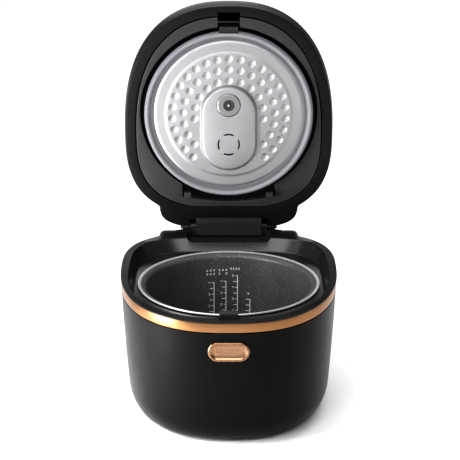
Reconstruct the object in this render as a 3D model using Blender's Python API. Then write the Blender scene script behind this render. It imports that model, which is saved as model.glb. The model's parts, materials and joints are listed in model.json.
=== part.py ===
"""Rice cooker with its lid standing open.

Geometry is written in millimetres in the cooker's own frame: the pot's axis is x = y = 0, the pot's
rim is z = 0, the front is -Y and up is +Z. Lid pieces are written where they lie when the lid is
shut, and the lid pivot then swings them open. Empties place both frames in the world, in metres.
"""
import math

import bmesh
import bpy
from mathutils import Vector

MM = 0.001

# Overall placing
RIM_HEIGHT = 161.5           # pot rim above the surface the feet stand on
FRONT_MOST = -139.6          # raised edge of the release button
REAR_MOST = 204.2            # steam cap, with the lid open

# Plan outline of body and lid: a rounded square with a lobe at the back that carries the hinge
HALF_WIDTH = 133.0
WIDEST_Y = 30.0
FRONT_REACH = 169.3
FRONT_POWER = 2.42
REAR_REACH = 112.5
REAR_POWER = 2.8
LOBE_HALF_WIDTH = 90.0
LOBE_Y = 129.0
LOBE_POWER = 2.9
LOBE_LEAST_DEPTH = 12.0      # an inset outline keeps at least this much rounding at the back
BODY_LOBE_REACH = 38.0
LID_LOBE_REACH = 30.0
RING_COUNT = 40
BAND_STEPS = 32              # spaced like the rings, so that band and casing share their corners

# Plane where body and lid part, tilted down towards the front
SPLIT_Z = 8.56
SPLIT_SLOPE = 0.051
LID_GAP = 0.8

# Body
BASE_Z = -159.0
CORNER_HEIGHT = 32.0
CORNER_DEPTH = 20.0
SHELL_WALL = 2.3
RIM_EDGE = 1.9
BAND_HEIGHT = 11.5
BAND_GAP_DEG = 36.0          # half of the arc at the back that the band leaves free
DECK_EDGE_Y = 143.0
DECK_END_Y = 167.0
DECK_DROP = 13.0
WELL_LEDGE_Z = -3.0
WALL_LEAN = 3.0              # least distance that the well wall leans in from rim to ledge
INLET_Z = -108.0
INLET_LEAN = 0.0714          # how far the back leans out per unit of height, beside the inlet

# Hinge
HINGE_Y = 156.0
HINGE_Z = 17.4
OPEN_DEG = 90.0
KNUCKLE_RADIUS = 13.7
ARM_HALF_WIDTH = 42.6
PIN_RADIUS = 2.5
BORE_GAP = 0.3

# Pot
POT_RIM_RADIUS = 111.1
POT_INNER_RADIUS = 101.0
POT_OUTER_RADIUS = 103.0
POT_DEPTH = 127.4
POT_CORNER = 24.0

# Release button and latch
BUTTON_Z = -35.7
BUTTON_HALF_WIDTH = 24.3
BUTTON_HALF_HEIGHT = 12.1
LATCH_Y = -122.5
LATCH_Z = -18.0

# Lid
LID_CENTRE_Y = 15.0
LID_TOP = 65.0
LID_DOME = 3.0
LID_SHOULDER = 0.7           # where the flat top begins, as a share of the way out from the centre
LID_SHOULDER_Z = 62.0
LID_WALL = 2.5
RECESS_RADIUS = 112.8
LINER_END_Y = 127.5
SENSOR_Y = -14.0
STEAM_Y = 37.5
PAD_RADIUS = 32.35
PAD_Y = (-3.0, 37.2)          # centres of the pad's two round ends
PANEL_HALF_WIDTH = 44.0
PANEL_Y = (-91.0, -31.0)

# Base: feet, and screws named after the quarter that they sit in
FOOT_SPOTS = ((-60, -62), (60, -62), (-58, 84), (58, 84))
FOOT_NAMES = ("foot_front_left", "foot_front_right", "foot_rear_left", "foot_rear_right")
SCREW_NAMES = ("base_screw_rear_right", "base_screw_rear_left", "base_screw_front_left",
               "base_screw_front_right")

FRAME_HOME = {"body": Vector((0, 0, 0)), "lid": Vector((0, HINGE_Y, HINGE_Z))}
FRAMES = {}


# ---------------------------------------------------------------- scene, frames and materials

def clear_scene():
    for obj in list(bpy.data.objects):
        bpy.data.objects.remove(obj, do_unlink=True)


def add_frames():
    """Empties at the pot rim's centre and on the hinge axis; the second swings the lid open."""
    body = bpy.data.objects.new("body_frame", None)
    bpy.context.scene.collection.objects.link(body)
    body.location = (0, -(FRONT_MOST + REAR_MOST) / 2 * MM, RIM_HEIGHT * MM)
    lid = bpy.data.objects.new("lid_pivot", None)
    bpy.context.scene.collection.objects.link(lid)
    lid.parent = body
    lid.location = FRAME_HOME["lid"] * MM
    lid.rotation_euler = (-math.radians(OPEN_DEG), 0, 0)
    FRAMES["body"] = body
    FRAMES["lid"] = lid


def make_material(name, colour, roughness, metallic=0.0):
    material = bpy.data.materials.new(name)
    material.use_nodes = True
    shader = material.node_tree.nodes["Principled BSDF"]
    shader.inputs["Base Color"].default_value = (*colour, 1.0)
    shader.inputs["Roughness"].default_value = roughness
    shader.inputs["Metallic"].default_value = metallic
    material.diffuse_color = (*colour, 1.0)
    return material


def make_materials():
    return {
        "satin_black": make_material("satin_black", (0.018, 0.018, 0.020), 0.42),
        "gloss_black": make_material("gloss_black", (0.012, 0.012, 0.014), 0.12),
        "dark_grey": make_material("dark_grey", (0.045, 0.045, 0.048), 0.50),
        "inner_plastic": make_material("inner_plastic", (0.16, 0.16, 0.17), 0.60),
        "copper": make_material("copper", (0.62, 0.33, 0.14), 0.30, 1.0),
        "rose_gold": make_material("rose_gold", (0.72, 0.42, 0.26), 0.28, 1.0),
        "pot_coating": make_material("pot_coating", (0.06, 0.06, 0.063), 0.45),
        "aluminium": make_material("aluminium", (0.72, 0.72, 0.73), 0.32, 1.0),
        "steel": make_material("steel", (0.56, 0.56, 0.57), 0.30, 1.0),
        "black_steel": make_material("black_steel", (0.03, 0.03, 0.032), 0.38, 0.6),
        "coil_copper": make_material("coil_copper", (0.50, 0.20, 0.09), 0.45, 1.0),
        "silicone": make_material("silicone", (0.42, 0.42, 0.43), 0.55),
        "rubber": make_material("rubber", (0.03, 0.03, 0.03), 0.85),
        "board_green": make_material("board_green", (0.03, 0.17, 0.08), 0.55),
        "ferrite": make_material("ferrite", (0.05, 0.05, 0.055), 0.75),
        "brass": make_material("brass", (0.70, 0.52, 0.22), 0.30, 1.0),
    }


# ---------------------------------------------------------------- shapes: (points, faces) pairs

def skin(rings, wrap=False):
    """Quads between rings of equal length; wrap joins last to first, else both ends are capped."""
    count = len(rings[0])
    points = [point for ring_points in rings for point in ring_points]
    faces = []
    spans = len(rings) if wrap else len(rings) - 1
    for k in range(spans):
        low = k * count
        high = ((k + 1) % len(rings)) * count
        for i in range(count):
            j = (i + 1) % count
            faces.append((low + i, low + j, high + j, high + i))
    if not wrap:
        faces.append(tuple(reversed(range(count))))
        faces.append(tuple(range(len(points) - count, len(points))))
    return points, faces


def along(axis, a, b, t, centre=(0, 0, 0)):
    """Point at t along an axis, with a and b the two other coordinates in X, Y, Z order."""
    spot = {"X": (t, a, b), "Y": (a, t, b), "Z": (a, b, t)}[axis]
    return tuple(s + c for s, c in zip(spot, centre))


def prism(outline, low, high, axis):
    return skin([[along(axis, a, b, t) for a, b in outline] for t in (low, high)])


def box(low, high):
    corners = [(low[0], low[1]), (high[0], low[1]), (high[0], high[1]), (low[0], high[1])]
    return prism(corners, low[2], high[2], "Z")


def lathe(profile, count, axis="Z", centre=(0, 0, 0), closed=True):
    """Turned shape from (radius, height) points; an open profile starts and ends on the axis."""
    size = len(profile)
    points = []
    for k in range(count):
        angle = 2 * math.pi * k / count
        for radius, t in profile:
            a = radius * math.cos(angle)
            b = radius * math.sin(angle)
            points.append(along(axis, a, b, t, centre))
    faces = []
    for k in range(count):
        here = k * size
        there = ((k + 1) % count) * size
        for i in range(size if closed else size - 1):
            j = (i + 1) % size
            faces.append((here + i, here + j, there + j, there + i))
    return points, faces


def disc(radius, low, high, axis="Z", centre=(0, 0, 0), count=24):
    return lathe([(0, low), (radius, low), (radius, high), (0, high)], count, axis, centre, closed=False)


def helix(radius, wire, low, high, turns, axis, centre, steps=6, sides=3):
    """Coil spring, as a tube of a few sides along a helix."""
    rings = []
    total = int(turns * steps)
    for k in range(total + 1):
        angle = 2 * math.pi * k / steps
        t = low + (high - low) * k / total
        ring_points = []
        for s in range(sides):
            around = 2 * math.pi * s / sides
            out = radius + wire * math.cos(around)
            ring_points.append(along(axis, out * math.cos(angle), out * math.sin(angle),
                                     t + wire * math.sin(around), centre))
        rings.append(ring_points)
    return skin(rings)


def rounded_rectangle(half_a, half_b, radius, centre=(0, 0), steps=4):
    """Corner arcs of a rounded rectangle, anticlockwise."""
    outline = []
    for quarter, (side_a, side_b) in enumerate(((1, 1), (-1, 1), (-1, -1), (1, -1))):
        for k in range(steps + 1):
            angle = math.pi / 2 * (quarter + k / steps)
            outline.append((centre[0] + side_a * (half_a - radius) + radius * math.cos(angle),
                            centre[1] + side_b * (half_b - radius) + radius * math.sin(angle)))
    return outline


def stadium(radius, low, high, steps=8):
    """Outline with a straight middle and round ends, centred at y = low and y = high."""
    outline = []
    for k in range(steps + 1):
        angle = math.pi * k / steps
        outline.append((radius * math.cos(angle), high + radius * math.sin(angle)))
    for k in range(steps + 1):
        angle = math.pi * (1 + k / steps)
        outline.append((radius * math.cos(angle), low + radius * math.sin(angle)))
    return outline


def joined(shapes):
    """Several separate shapes as one, for a cutter."""
    points = []
    faces = []
    for shape_points, shape_faces in shapes:
        start = len(points)
        points.extend(shape_points)
        faces.extend(tuple(start + i for i in face) for face in shape_faces)
    return points, faces


# ---------------------------------------------------------------- objects

def add_solid(name, shape, material, frame="body", origin=(0, 0, 0), sharp_deg=35):
    """Object made from a shape; origin is its own origin, in the cooker's frame."""
    points, faces = shape
    home = Vector(origin)
    mesh = bpy.data.meshes.new(name)
    mesh.from_pydata([(Vector(point) - home) * MM for point in points], [], faces)
    edit = bmesh.new()
    edit.from_mesh(mesh)
    bmesh.ops.remove_doubles(edit, verts=edit.verts, dist=1e-7)
    bmesh.ops.dissolve_degenerate(edit, edges=edit.edges, dist=1e-7)
    bmesh.ops.recalc_face_normals(edit, faces=edit.faces)
    edit.to_mesh(mesh)
    edit.free()
    mesh.shade_smooth()
    mesh.set_sharp_from_angle(angle=math.radians(sharp_deg))
    if material:
        mesh.materials.append(material)
    obj = bpy.data.objects.new(name, mesh)
    bpy.context.scene.collection.objects.link(obj)
    obj.parent = FRAMES[frame]
    obj.location = (home - FRAME_HOME[frame]) * MM
    return obj


def combine(target, name, shape, operation, frame="body"):
    """Boolean with a hidden helper object."""
    helper = add_solid(name, shape, None, frame)
    helper.hide_render = True
    helper.display_type = 'WIRE'
    modifier = target.modifiers.new(name, 'BOOLEAN')
    modifier.operation = operation
    modifier.solver = 'EXACT'
    modifier.object = helper


def cut(target, name, shape, frame="body"):
    combine(target, name, shape, 'DIFFERENCE', frame)


def fuse(target, name, shape, frame="body"):
    combine(target, name, shape, 'UNION', frame)


# ---------------------------------------------------------------- outlines by direction

def within_rounded_square(x, y, centre_y, half_width, front, rear, front_power, rear_power):
    reach = front if y < centre_y else rear
    power = front_power if y < centre_y else rear_power
    return (abs(x) / half_width) ** power + (abs(y - centre_y) / reach) ** power <= 1


def within_plan(x, y, inset, lobe_reach):
    """True inside the plan outline drawn in by inset, lobe included."""
    if within_rounded_square(x, y, WIDEST_Y, HALF_WIDTH - inset, FRONT_REACH - inset,
                             REAR_REACH - inset, FRONT_POWER, REAR_POWER):
        return True
    if y < 0 or abs(x) > LOBE_HALF_WIDTH - inset:
        return False
    depth = max(lobe_reach - inset, LOBE_LEAST_DEPTH)
    start = LOBE_Y + lobe_reach - inset - depth
    if y <= start:
        return True
    return (abs(x) / (LOBE_HALF_WIDTH - inset)) ** LOBE_POWER + ((y - start) / depth) ** LOBE_POWER <= 1


def reach_of(inside, theta):
    """Distance from the pot's axis to the edge of a region, in direction theta."""
    near = 0.0
    far = 260.0
    for _ in range(32):
        middle = (near + far) / 2
        if inside(middle * math.cos(theta), middle * math.sin(theta)):
            near = middle
        else:
            far = middle
    return near


def body_reach(inset):
    return lambda theta: reach_of(lambda x, y: within_plan(x, y, inset, BODY_LOBE_REACH), theta)


def lid_reach(inset):
    return lambda theta: reach_of(lambda x, y: within_plan(x, y, inset, LID_LOBE_REACH), theta)


def rim_inner_reach(grow):
    """Inner edge of the body's rim: follows the front, and runs nearly straight at the back."""
    return lambda theta: reach_of(lambda x, y: within_rounded_square(
        x, y, 10, 122.5 + grow, 138.3 + grow, 111 + grow, FRONT_POWER, 4.0), theta)


def ledge_reach(grow):
    """Foot of the well's sloping wall: a rounded square, kept inside the rim's inner edge."""
    rim = rim_inner_reach(grow - WALL_LEAN)

    def reach(theta):
        square = reach_of(lambda x, y: within_rounded_square(
            x, y, 0, 115.5 + grow, 115.5 + grow, 115.5 + grow, 3.7, 3.7), theta)
        return min(square, rim(theta))
    return reach


def liner_reach(grow):
    """Liner's edge: parallel to the lid's main outline, and cut straight in front of the hinge."""
    def inside(x, y):
        return y <= LINER_END_Y + grow and within_rounded_square(
            x, y, WIDEST_Y, 119.0 + grow, 155.6 + grow, 100.0 + grow, FRONT_POWER, REAR_POWER)
    return lambda theta: reach_of(inside, theta)


def recess_reach(grow):
    """Round recess for the inner lid, widened at the back for its two lugs."""
    def inside(x, y):
        if math.hypot(x, y) <= RECESS_RADIUS + grow:
            return True
        if y < 0 or abs(x) > 60 + grow:
            return False
        return y <= 113 + grow + 6.5 * (1 - (x / 60) ** 2)
    return lambda theta: reach_of(inside, theta)


def circle_reach(radius):
    return lambda theta: radius


def split_height(y):
    return SPLIT_Z + SPLIT_SLOPE * y


def deck_height(y):
    """Top of the body's rim; behind the deck's edge it falls away so that the lid's lobe can turn."""
    fall = max(0.0, y - DECK_EDGE_Y) / (DECK_END_Y - DECK_EDGE_Y)
    return split_height(y) - DECK_DROP * fall ** 1.9


def body_taper(z):
    depth = max(0.0, -z)
    return 0.034 * depth + 0.00018 * depth ** 2


def ring(reach, height, thetas=None):
    """Points all round at the given reach; height is a number or a function of y."""
    if thetas is None:
        thetas = [2 * math.pi * k / RING_COUNT for k in range(RING_COUNT)]
    points = []
    for theta in thetas:
        distance = reach(theta)
        x = distance * math.cos(theta)
        y = distance * math.sin(theta)
        points.append((x, y, height(y) if callable(height) else height))
    return points


def ring_below(reach, above, drop):
    """Ring at its own reach, each point a drop below the matching point of another ring."""
    return [(x, y, top[2] - drop) for (x, y, _), top in zip(ring(reach, 0.0), above)]


def between(ring_a, ring_b, share, height):
    """Ring part of the way from one ring to another, at its own height."""
    points = []
    for a, b in zip(ring_a, ring_b):
        x = a[0] + (b[0] - a[0]) * share
        y = a[1] + (b[1] - a[1]) * share
        points.append((x, y, height(y)))
    return points


# ---------------------------------------------------------------- body casings

def shell_levels(extra, heights, steps):
    """(inset, height) down the shell's side and round its lower corner, at a depth into the wall."""
    levels = [(0.5 + body_taper(z) + extra, z) for z in heights]
    for k in range(1, steps + 1):
        angle = math.pi / 2 * k / steps
        z = -127.0 - (CORNER_HEIGHT - extra) * math.sin(angle)
        levels.append((0.5 + body_taper(z) + extra + (CORNER_DEPTH - extra) * (1 - math.cos(angle)), z))
    return levels


def band_arc(steps, spare_deg):
    """Directions that the trim band covers, from one side of the lobe round the front."""
    start = 90 + BAND_GAP_DEG - spare_deg
    end = 450 - BAND_GAP_DEG + spare_deg
    return [math.radians(start + (end - start) * k / steps) for k in range(steps + 1)]


def band_sections(thetas, insets, top, bottom):
    """Cross-sections of a strip that follows the rim, drawn between two insets."""
    corners = []
    for inset, drop in ((insets[0], top), (insets[0], bottom), (insets[1], bottom), (insets[1], top)):
        corners.append(ring(body_reach(inset), lambda y, d=drop: split_height(y) - d, thetas))
    return [list(section) for section in zip(*corners)]


def add_outer_shell(materials):
    rim = ring(body_reach(0.0), deck_height)
    wall_top = [ring_below(body_reach(0.5 + extra), rim, RIM_EDGE) for extra in (0.0, SHELL_WALL)]
    outer = [ring(body_reach(inset), z) for inset, z in shell_levels(0.0, (-22.0, -75.0, -127.0), 4)]
    inner = [ring(body_reach(inset), z) for inset, z in shell_levels(SHELL_WALL, (-22.0, -75.0, -127.0), 3)]
    flange = [ring(body_reach(42.0), BASE_Z), ring(body_reach(42.0), BASE_Z + SHELL_WALL)]
    rings = [wall_top[0]] + outer + flange + inner[::-1] + [wall_top[1]]
    shell = add_solid("outer_shell", skin(rings, wrap=True), materials["satin_black"])
    cut(shell, "hinge_way", box((-50.3, 146.5, -0.6), (50.3, 176, 34)))
    cut(shell, "inlet_hole", prism(rounded_rectangle(14.4, 11.4, 2.5, (0, INLET_Z), 2), 148, 175, "Y"))
    cut(shell, "screw_holes", joined([disc(2.0, -165, -150, "Z", (x, y, 0), 8)
                                      for x, y in screw_spots()]))
    rebate = band_sections(band_arc(27, 0.35), (-3.0, 6.0), -5.0, RIM_EDGE + BAND_HEIGHT + 0.4)
    cut(shell, "band_rebate", skin(rebate))
    cut(shell, "button_hole", skin([button_outline(-0.4, y) for y in (-145, -128)]))
    return shell


def button_outline(shrink, y):
    """The button's outline, drawn in by shrink, in the plane at y: straight in the middle, round at the ends."""
    reach = BUTTON_HALF_WIDTH - BUTTON_HALF_HEIGHT
    return [(a, y, BUTTON_Z + b) for b, a in stadium(BUTTON_HALF_HEIGHT - shrink, -reach, reach)]


def screw_spots():
    spots = []
    for degrees in (35, 145, 215, 325):
        theta = math.radians(degrees)
        distance = body_reach(37.0)(theta)
        spots.append((distance * math.cos(theta), distance * math.sin(theta)))
    return spots


def add_trim_band(materials):
    sections = band_sections(band_arc(BAND_STEPS, 0.0), (0.25, 2.5), RIM_EDGE + 0.1, RIM_EDGE + BAND_HEIGHT)
    add_solid("trim_band", skin(sections), materials["copper"])


def upper_frame_rings():
    """Cross-section loop of the rim: rim face, skirt behind the band, well wall, ledge and collar."""
    rim_outer = ring(body_reach(0.0), deck_height)
    rim_inner = ring(rim_inner_reach(0.0), split_height)
    return [
        rim_outer,
        ring_below(body_reach(0.0), rim_outer, RIM_EDGE - 0.3),
        ring_below(body_reach(3.6), rim_outer, RIM_EDGE - 0.3),
        ring_below(body_reach(4.2), rim_outer, 19.0),
        ring_below(body_reach(6.2), rim_outer, 19.0),
        ring_below(body_reach(5.8), rim_outer, 4.2),
        ring(rim_inner_reach(2.6), lambda y: split_height(y) - 4.2),
        ring(ledge_reach(2.2), WELL_LEDGE_Z - 2.4),
        ring(circle_reach(110.4), WELL_LEDGE_Z - 2.4),
        ring(circle_reach(110.4), -13.8),
        ring(circle_reach(108.2), -13.8),
        ring(circle_reach(108.2), WELL_LEDGE_Z),
        ring(ledge_reach(0.0), WELL_LEDGE_Z),
        rim_inner,
        between(rim_inner, rim_outer, 0.35, deck_height),
        between(rim_inner, rim_outer, 0.7, deck_height),
    ]


def add_upper_frame(materials):
    frame = add_solid("upper_frame", skin(upper_frame_rings(), wrap=True), materials["gloss_black"])
    block = [(113.5, -4.3), (153.5, -4.3), (153.5, 8.5), (148.0, 12.0), (122.0, 12.0), (117.0, -3.5)]
    fuse(frame, "hinge_block", prism(block, -57, 57, "X"))
    fuse(frame, "hinge_floor", box((-49.6, 150, -4.2), (49.6, 160.8, 2.8)))
    notch = [(-49, 8.6), (49, 8.6), (55, 14.5), (55, 40), (-55, 40), (-55, 14.5)]
    cut(frame, "lid_notch", prism(notch, 110, 145, "Y"))
    cut(frame, "hinge_pocket", box((-50, 142, 0), (50, 180, 41)))
    for side in (-1, 1):
        cheek = box((min(side * 12.7, side * 15.2), -127, -22), (max(side * 12.7, side * 15.2), -117.5, -3.4))
        fuse(frame, "latch_cheek_right" if side > 0 else "latch_cheek_left", cheek)
    fuse(frame, "spring_seat", box((-18.5, -114.8, -42.0), (18.5, -113.2, -4.5)))
    cut(frame, "latch_slot", box((-12.2, -131, -30), (12.2, -114.9, 12)))
    cut(frame, "latch_bores", disc(1.8, -20, 20, "X", (0, LATCH_Y, LATCH_Z), 16))
    return frame


def add_base_cover(materials):
    step = [ring(body_reach(42.4), BASE_Z + 0.1), ring(body_reach(42.4), BASE_Z + 2.6),
            ring(body_reach(31.5), BASE_Z + 2.6), ring(body_reach(31.5), BASE_Z + 4.4)]
    cover = add_solid("base_cover", skin(step), materials["inner_plastic"])
    bosses = joined([disc(4.5, BASE_Z + 3.5, BASE_Z + 13, "Z", (x, y, 0), 10) for x, y in screw_spots()])
    fuse(cover, "screw_bosses", bosses)
    bores = [disc(1.9, BASE_Z - 3, BASE_Z + 11.5, "Z", (x, y, 0), 8) for x, y in screw_spots()]
    bores += [disc(3.4, BASE_Z - 3, BASE_Z + 2.5, "Z", (x, y, 0), 12) for x, y in FOOT_SPOTS]
    cut(cover, "bores", joined(bores))
    slots = [box((-17, 74 + 6.0 * k, BASE_Z - 5), (17, 77 + 6.0 * k, BASE_Z + 10)) for k in range(4)]
    slots += [box((-30, -30 + 8.0 * k, BASE_Z - 5), (30, -27 + 8.0 * k, BASE_Z + 10)) for k in range(5)]
    cut(cover, "vent_slots", joined(slots))


def add_feet(materials):
    profile = [(0, -RIM_HEIGHT), (7.6, -RIM_HEIGHT), (9.0, -RIM_HEIGHT + 1.2), (9.0, BASE_Z - 0.3),
               (3.0, BASE_Z - 0.3), (3.0, BASE_Z + 2.0), (0, BASE_Z + 2.0)]
    for name, (x, y) in zip(FOOT_NAMES, FOOT_SPOTS):
        add_solid(name, lathe(profile, 12, "Z", (x, y, 0), closed=False), materials["rubber"],
                  origin=(x, y, BASE_Z))


def add_base_screws(materials):
    profile = [(0, BASE_Z - 1.5), (0.9, BASE_Z - 1.5), (2.4, BASE_Z - 1.9), (3.2, BASE_Z - 1.1),
               (3.2, BASE_Z - 0.3), (1.6, BASE_Z - 0.3), (1.6, BASE_Z + 10.5), (0, BASE_Z + 11.0)]
    for name, (x, y) in zip(SCREW_NAMES, screw_spots()):
        add_solid(name, lathe(profile, 8, "Z", (x, y, 0), closed=False), materials["steel"],
                  origin=(x, y, BASE_Z))


# ---------------------------------------------------------------- heating and power

def add_pot_well(materials):
    """Heat-proof cup around the pot, open at the bottom for the temperature sensor."""
    profile = [(105.4, -14.3), (112.0, -14.3), (112.0, -16.0), (107.2, -16.0), (107.2, -112.0),
               (104.2, -123.0), (96.0, -129.3), (86.0, -131.2), (24.0, -131.2), (24.0, -129.5),
               (86.0, -129.5), (95.0, -127.6), (102.6, -122.0), (105.4, -111.6)]
    add_solid("pot_well", lathe(profile, 28), materials["inner_plastic"])


def add_inner_pot(materials):
    outer = [(POT_RIM_RADIUS, -0.7), (POT_RIM_RADIUS, -2.0), (108.0, -2.5), (107.2, -4.0), (POT_OUTER_RADIUS, -7.5)]
    inner = [(POT_INNER_RADIUS, -4.6), (101.8, -3.4), (109.8, -0.1), (110.6, 0.0)]
    centre = POT_OUTER_RADIUS - POT_CORNER
    corner_z = -POT_DEPTH + POT_CORNER
    wall = POT_OUTER_RADIUS - POT_INNER_RADIUS
    for k in range(4):
        angle = math.pi / 2 * k / 3
        outer.append((centre + POT_CORNER * math.cos(angle), corner_z - POT_CORNER * math.sin(angle)))
    inside = []
    for k in range(4):
        angle = math.pi / 2 * (1 - k / 3)
        inside.append((centre + (POT_CORNER - wall) * math.cos(angle),
                       corner_z - (POT_CORNER - wall) * math.sin(angle)))
    add_solid("inner_pot", pot_shape(outer, inside, inner), materials["pot_coating"])


def pot_shape(outer, inside, inner):
    """The pot as rings: from the floor's inside up the wall, over the rim and down to the underside."""
    inner_floor = -POT_DEPTH + POT_OUTER_RADIUS - POT_INNER_RADIUS
    path = [(12.0, inner_floor)] + inside + inner + outer + [(12.0, -POT_DEPTH)]
    return skin([ring(circle_reach(radius), z) for radius, z in path])


def add_coil_carrier(materials):
    profile = [(6, -147), (22, -147), (22, -141.5), (84, -141.5), (84, -134), (82, -134), (82, -138.5),
               (22, -138.5), (22, -134), (20, -134), (20, -145), (6, -145)]
    add_solid("coil_carrier", lathe(profile, 20), materials["inner_plastic"])


def add_induction_coil(materials):
    """Flat spiral winding under the pot."""
    rings = []
    turns = 5
    steps = 12
    sides = 4
    for k in range(turns * steps + 1):
        angle = 2 * math.pi * k / steps
        radius = 31 + 45 * k / (turns * steps)
        section = []
        for s in range(sides):
            around = 2 * math.pi * s / sides
            out = radius + 3.2 * math.cos(around)
            section.append((out * math.cos(angle), out * math.sin(angle), -135.3 + 1.8 * math.sin(around)))
        rings.append(section)
    add_solid("induction_coil", skin(rings), materials["coil_copper"])


def add_ferrites(materials):
    for index, (dx, dy) in enumerate(((1, 0), (0, 1), (-1, 0), (0, -1))):
        low = (32 if dx > 0 else -76, -6) if dx else (-6, 32 if dy > 0 else -76)
        high = (76 if dx > 0 else -32, 6) if dx else (6, 76 if dy > 0 else -32)
        add_solid("ferrite_bar_%d" % (index + 1), box((*low, -146.2), (*high, -141.9)), materials["ferrite"])


def add_pot_sensor(materials):
    profile = [(0, -127.8), (14.6, -127.8), (16.0, -128.8), (16.0, -133.0), (5.2, -133.0), (5.2, -152.0),
               (0, -152.0)]
    add_solid("pot_sensor", lathe(profile[::-1], 20, closed=False), materials["aluminium"],
              origin=(0, 0, -133))
    add_solid("sensor_spring", helix(9.0, 0.8, -143.9, -134.1, 4, "Z", (0, 0, 0)), materials["steel"],
              origin=(0, 0, -144))


def add_electronics(materials):
    board = add_solid("main_board", box((-56, 130.0, -128), (56, 131.6, -24)), materials["board_green"])
    parts = [box((-50, 110.5, -52), (-22, 130.8, -30)), box((8, 112.5, -50), (24, 130.8, -34)),
             box((32, 116.0, -58), (48, 130.8, -30))]
    fuse(board, "board_parts", joined(parts))
    comb = [(-45, 132.0)]
    for fin in range(7):
        left = -45 + fin * 8.0
        comb += [(left, 148.0), (left + 2.0, 148.0)] if fin in (0, 6) else [(left, 150.0), (left + 2.0, 150.0)]
        if fin < 6:
            comb += [(left + 2.0, 136.0), (left + 8.0, 136.0)]
    comb += [(5, 132.0)]
    add_solid("heat_sink", prism(comb, -92, -34, "Z"), materials["aluminium"])


def add_fan(materials):
    fan_y = 116.0
    frame = add_solid("fan_frame", prism(rounded_rectangle(25, 25, 4, (0, fan_y)), -153.5, -142, "Z"),
                      materials["ferrite"])
    cut(frame, "fan_duct", disc(22.6, -160, -130, "Z", (0, fan_y, 0), 24))
    fuse(frame, "fan_hub_seat", disc(6.5, -153.4, -151.0, "Z", (0, fan_y, 0), 12))
    fuse(frame, "fan_strut_x", box((-24, fan_y - 1.5, -153.2), (24, fan_y + 1.5, -151.4)))
    fuse(frame, "fan_strut_y", box((-1.5, fan_y - 24, -153.1), (1.5, fan_y + 24, -151.3)))
    blades = 7
    rings = []
    for level in range(4):
        twist = math.radians(14) * level / 3
        z = -150.5 + 7.5 * level / 3
        star = []
        for blade in range(blades):
            for radius, share in ((9.5, 0.0), (21.0, 0.06), (21.0, 0.22), (9.5, 0.30), (9.5, 0.65)):
                angle = 2 * math.pi * (blade + share) / blades + twist
                star.append((radius * math.cos(angle), fan_y + radius * math.sin(angle), z))
        rings.append(star)
    add_solid("fan_rotor", skin(rings), materials["rubber"], origin=(0, fan_y, -147))


def add_inlet(materials):
    """Two-part appliance inlet at the back: a housing with its socket, and three contact pins."""
    body = rounded_rectangle(14.0, 11.0, 2.2, (0, INLET_Z), 2)
    housing = add_solid("inlet_housing", prism(body, 140, 159.4, "Y"), materials["ferrite"])
    flange = rounded_rectangle(17.0, 14.0, 3.0, (0, INLET_Z), 2)
    leaning = [[(x, y + INLET_LEAN * (z - INLET_Z), z) for x, z in flange] for y in (161.0, 163.2)]
    fuse(housing, "inlet_flange", skin(leaning))
    fuse(housing, "inlet_neck", prism(body, 159, 162.6, "Y"))
    cut(housing, "inlet_socket", prism(rounded_rectangle(11.2, 8.2, 1.5, (0, INLET_Z), 2), 144, 170, "Y"))
    pins = (("inlet_pin_line", -6.0, 2.4), ("inlet_pin_earth", 0.0, -2.0), ("inlet_pin_neutral", 6.0, 2.4))
    holes = []
    for name, x, dz in pins:
        z = INLET_Z + dz
        add_solid(name, box((x - 1.0, 136, z - 2.0), (x + 1.0, 158, z + 2.0)), materials["brass"],
                  origin=(x, 144, z))
        holes.append(box((x - 1.3, 135, z - 2.3), (x + 1.3, 146, z + 2.3)))
    cut(housing, "pin_holes", joined(holes))


# ---------------------------------------------------------------- hinge, latch and button

def add_hinge(materials):
    ear = 6.5
    outline = [(-49.6, 0.4), (49.6, 0.4), (49.6, HINGE_Z + ear), (43.3, HINGE_Z + ear), (43.3, 2.3),
               (-43.3, 2.3), (-43.3, HINGE_Z + ear), (-49.6, HINGE_Z + ear)]
    bracket = add_solid("hinge_bracket", prism(outline, HINGE_Y - ear, HINGE_Y + ear, "Y"),
                        materials["black_steel"])
    cut(bracket, "ear_bores", disc(PIN_RADIUS + BORE_GAP, -60, 60, "X", (0, HINGE_Y, HINGE_Z), 20))
    profile = [(0, -49.0), (PIN_RADIUS, -49.0), (PIN_RADIUS, 49.0), (0, 49.0)]
    add_solid("hinge_pin", lathe(profile, 20, "X", (0, HINGE_Y, HINGE_Z), closed=False),
              materials["black_steel"], origin=(0, HINGE_Y, HINGE_Z))


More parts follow.
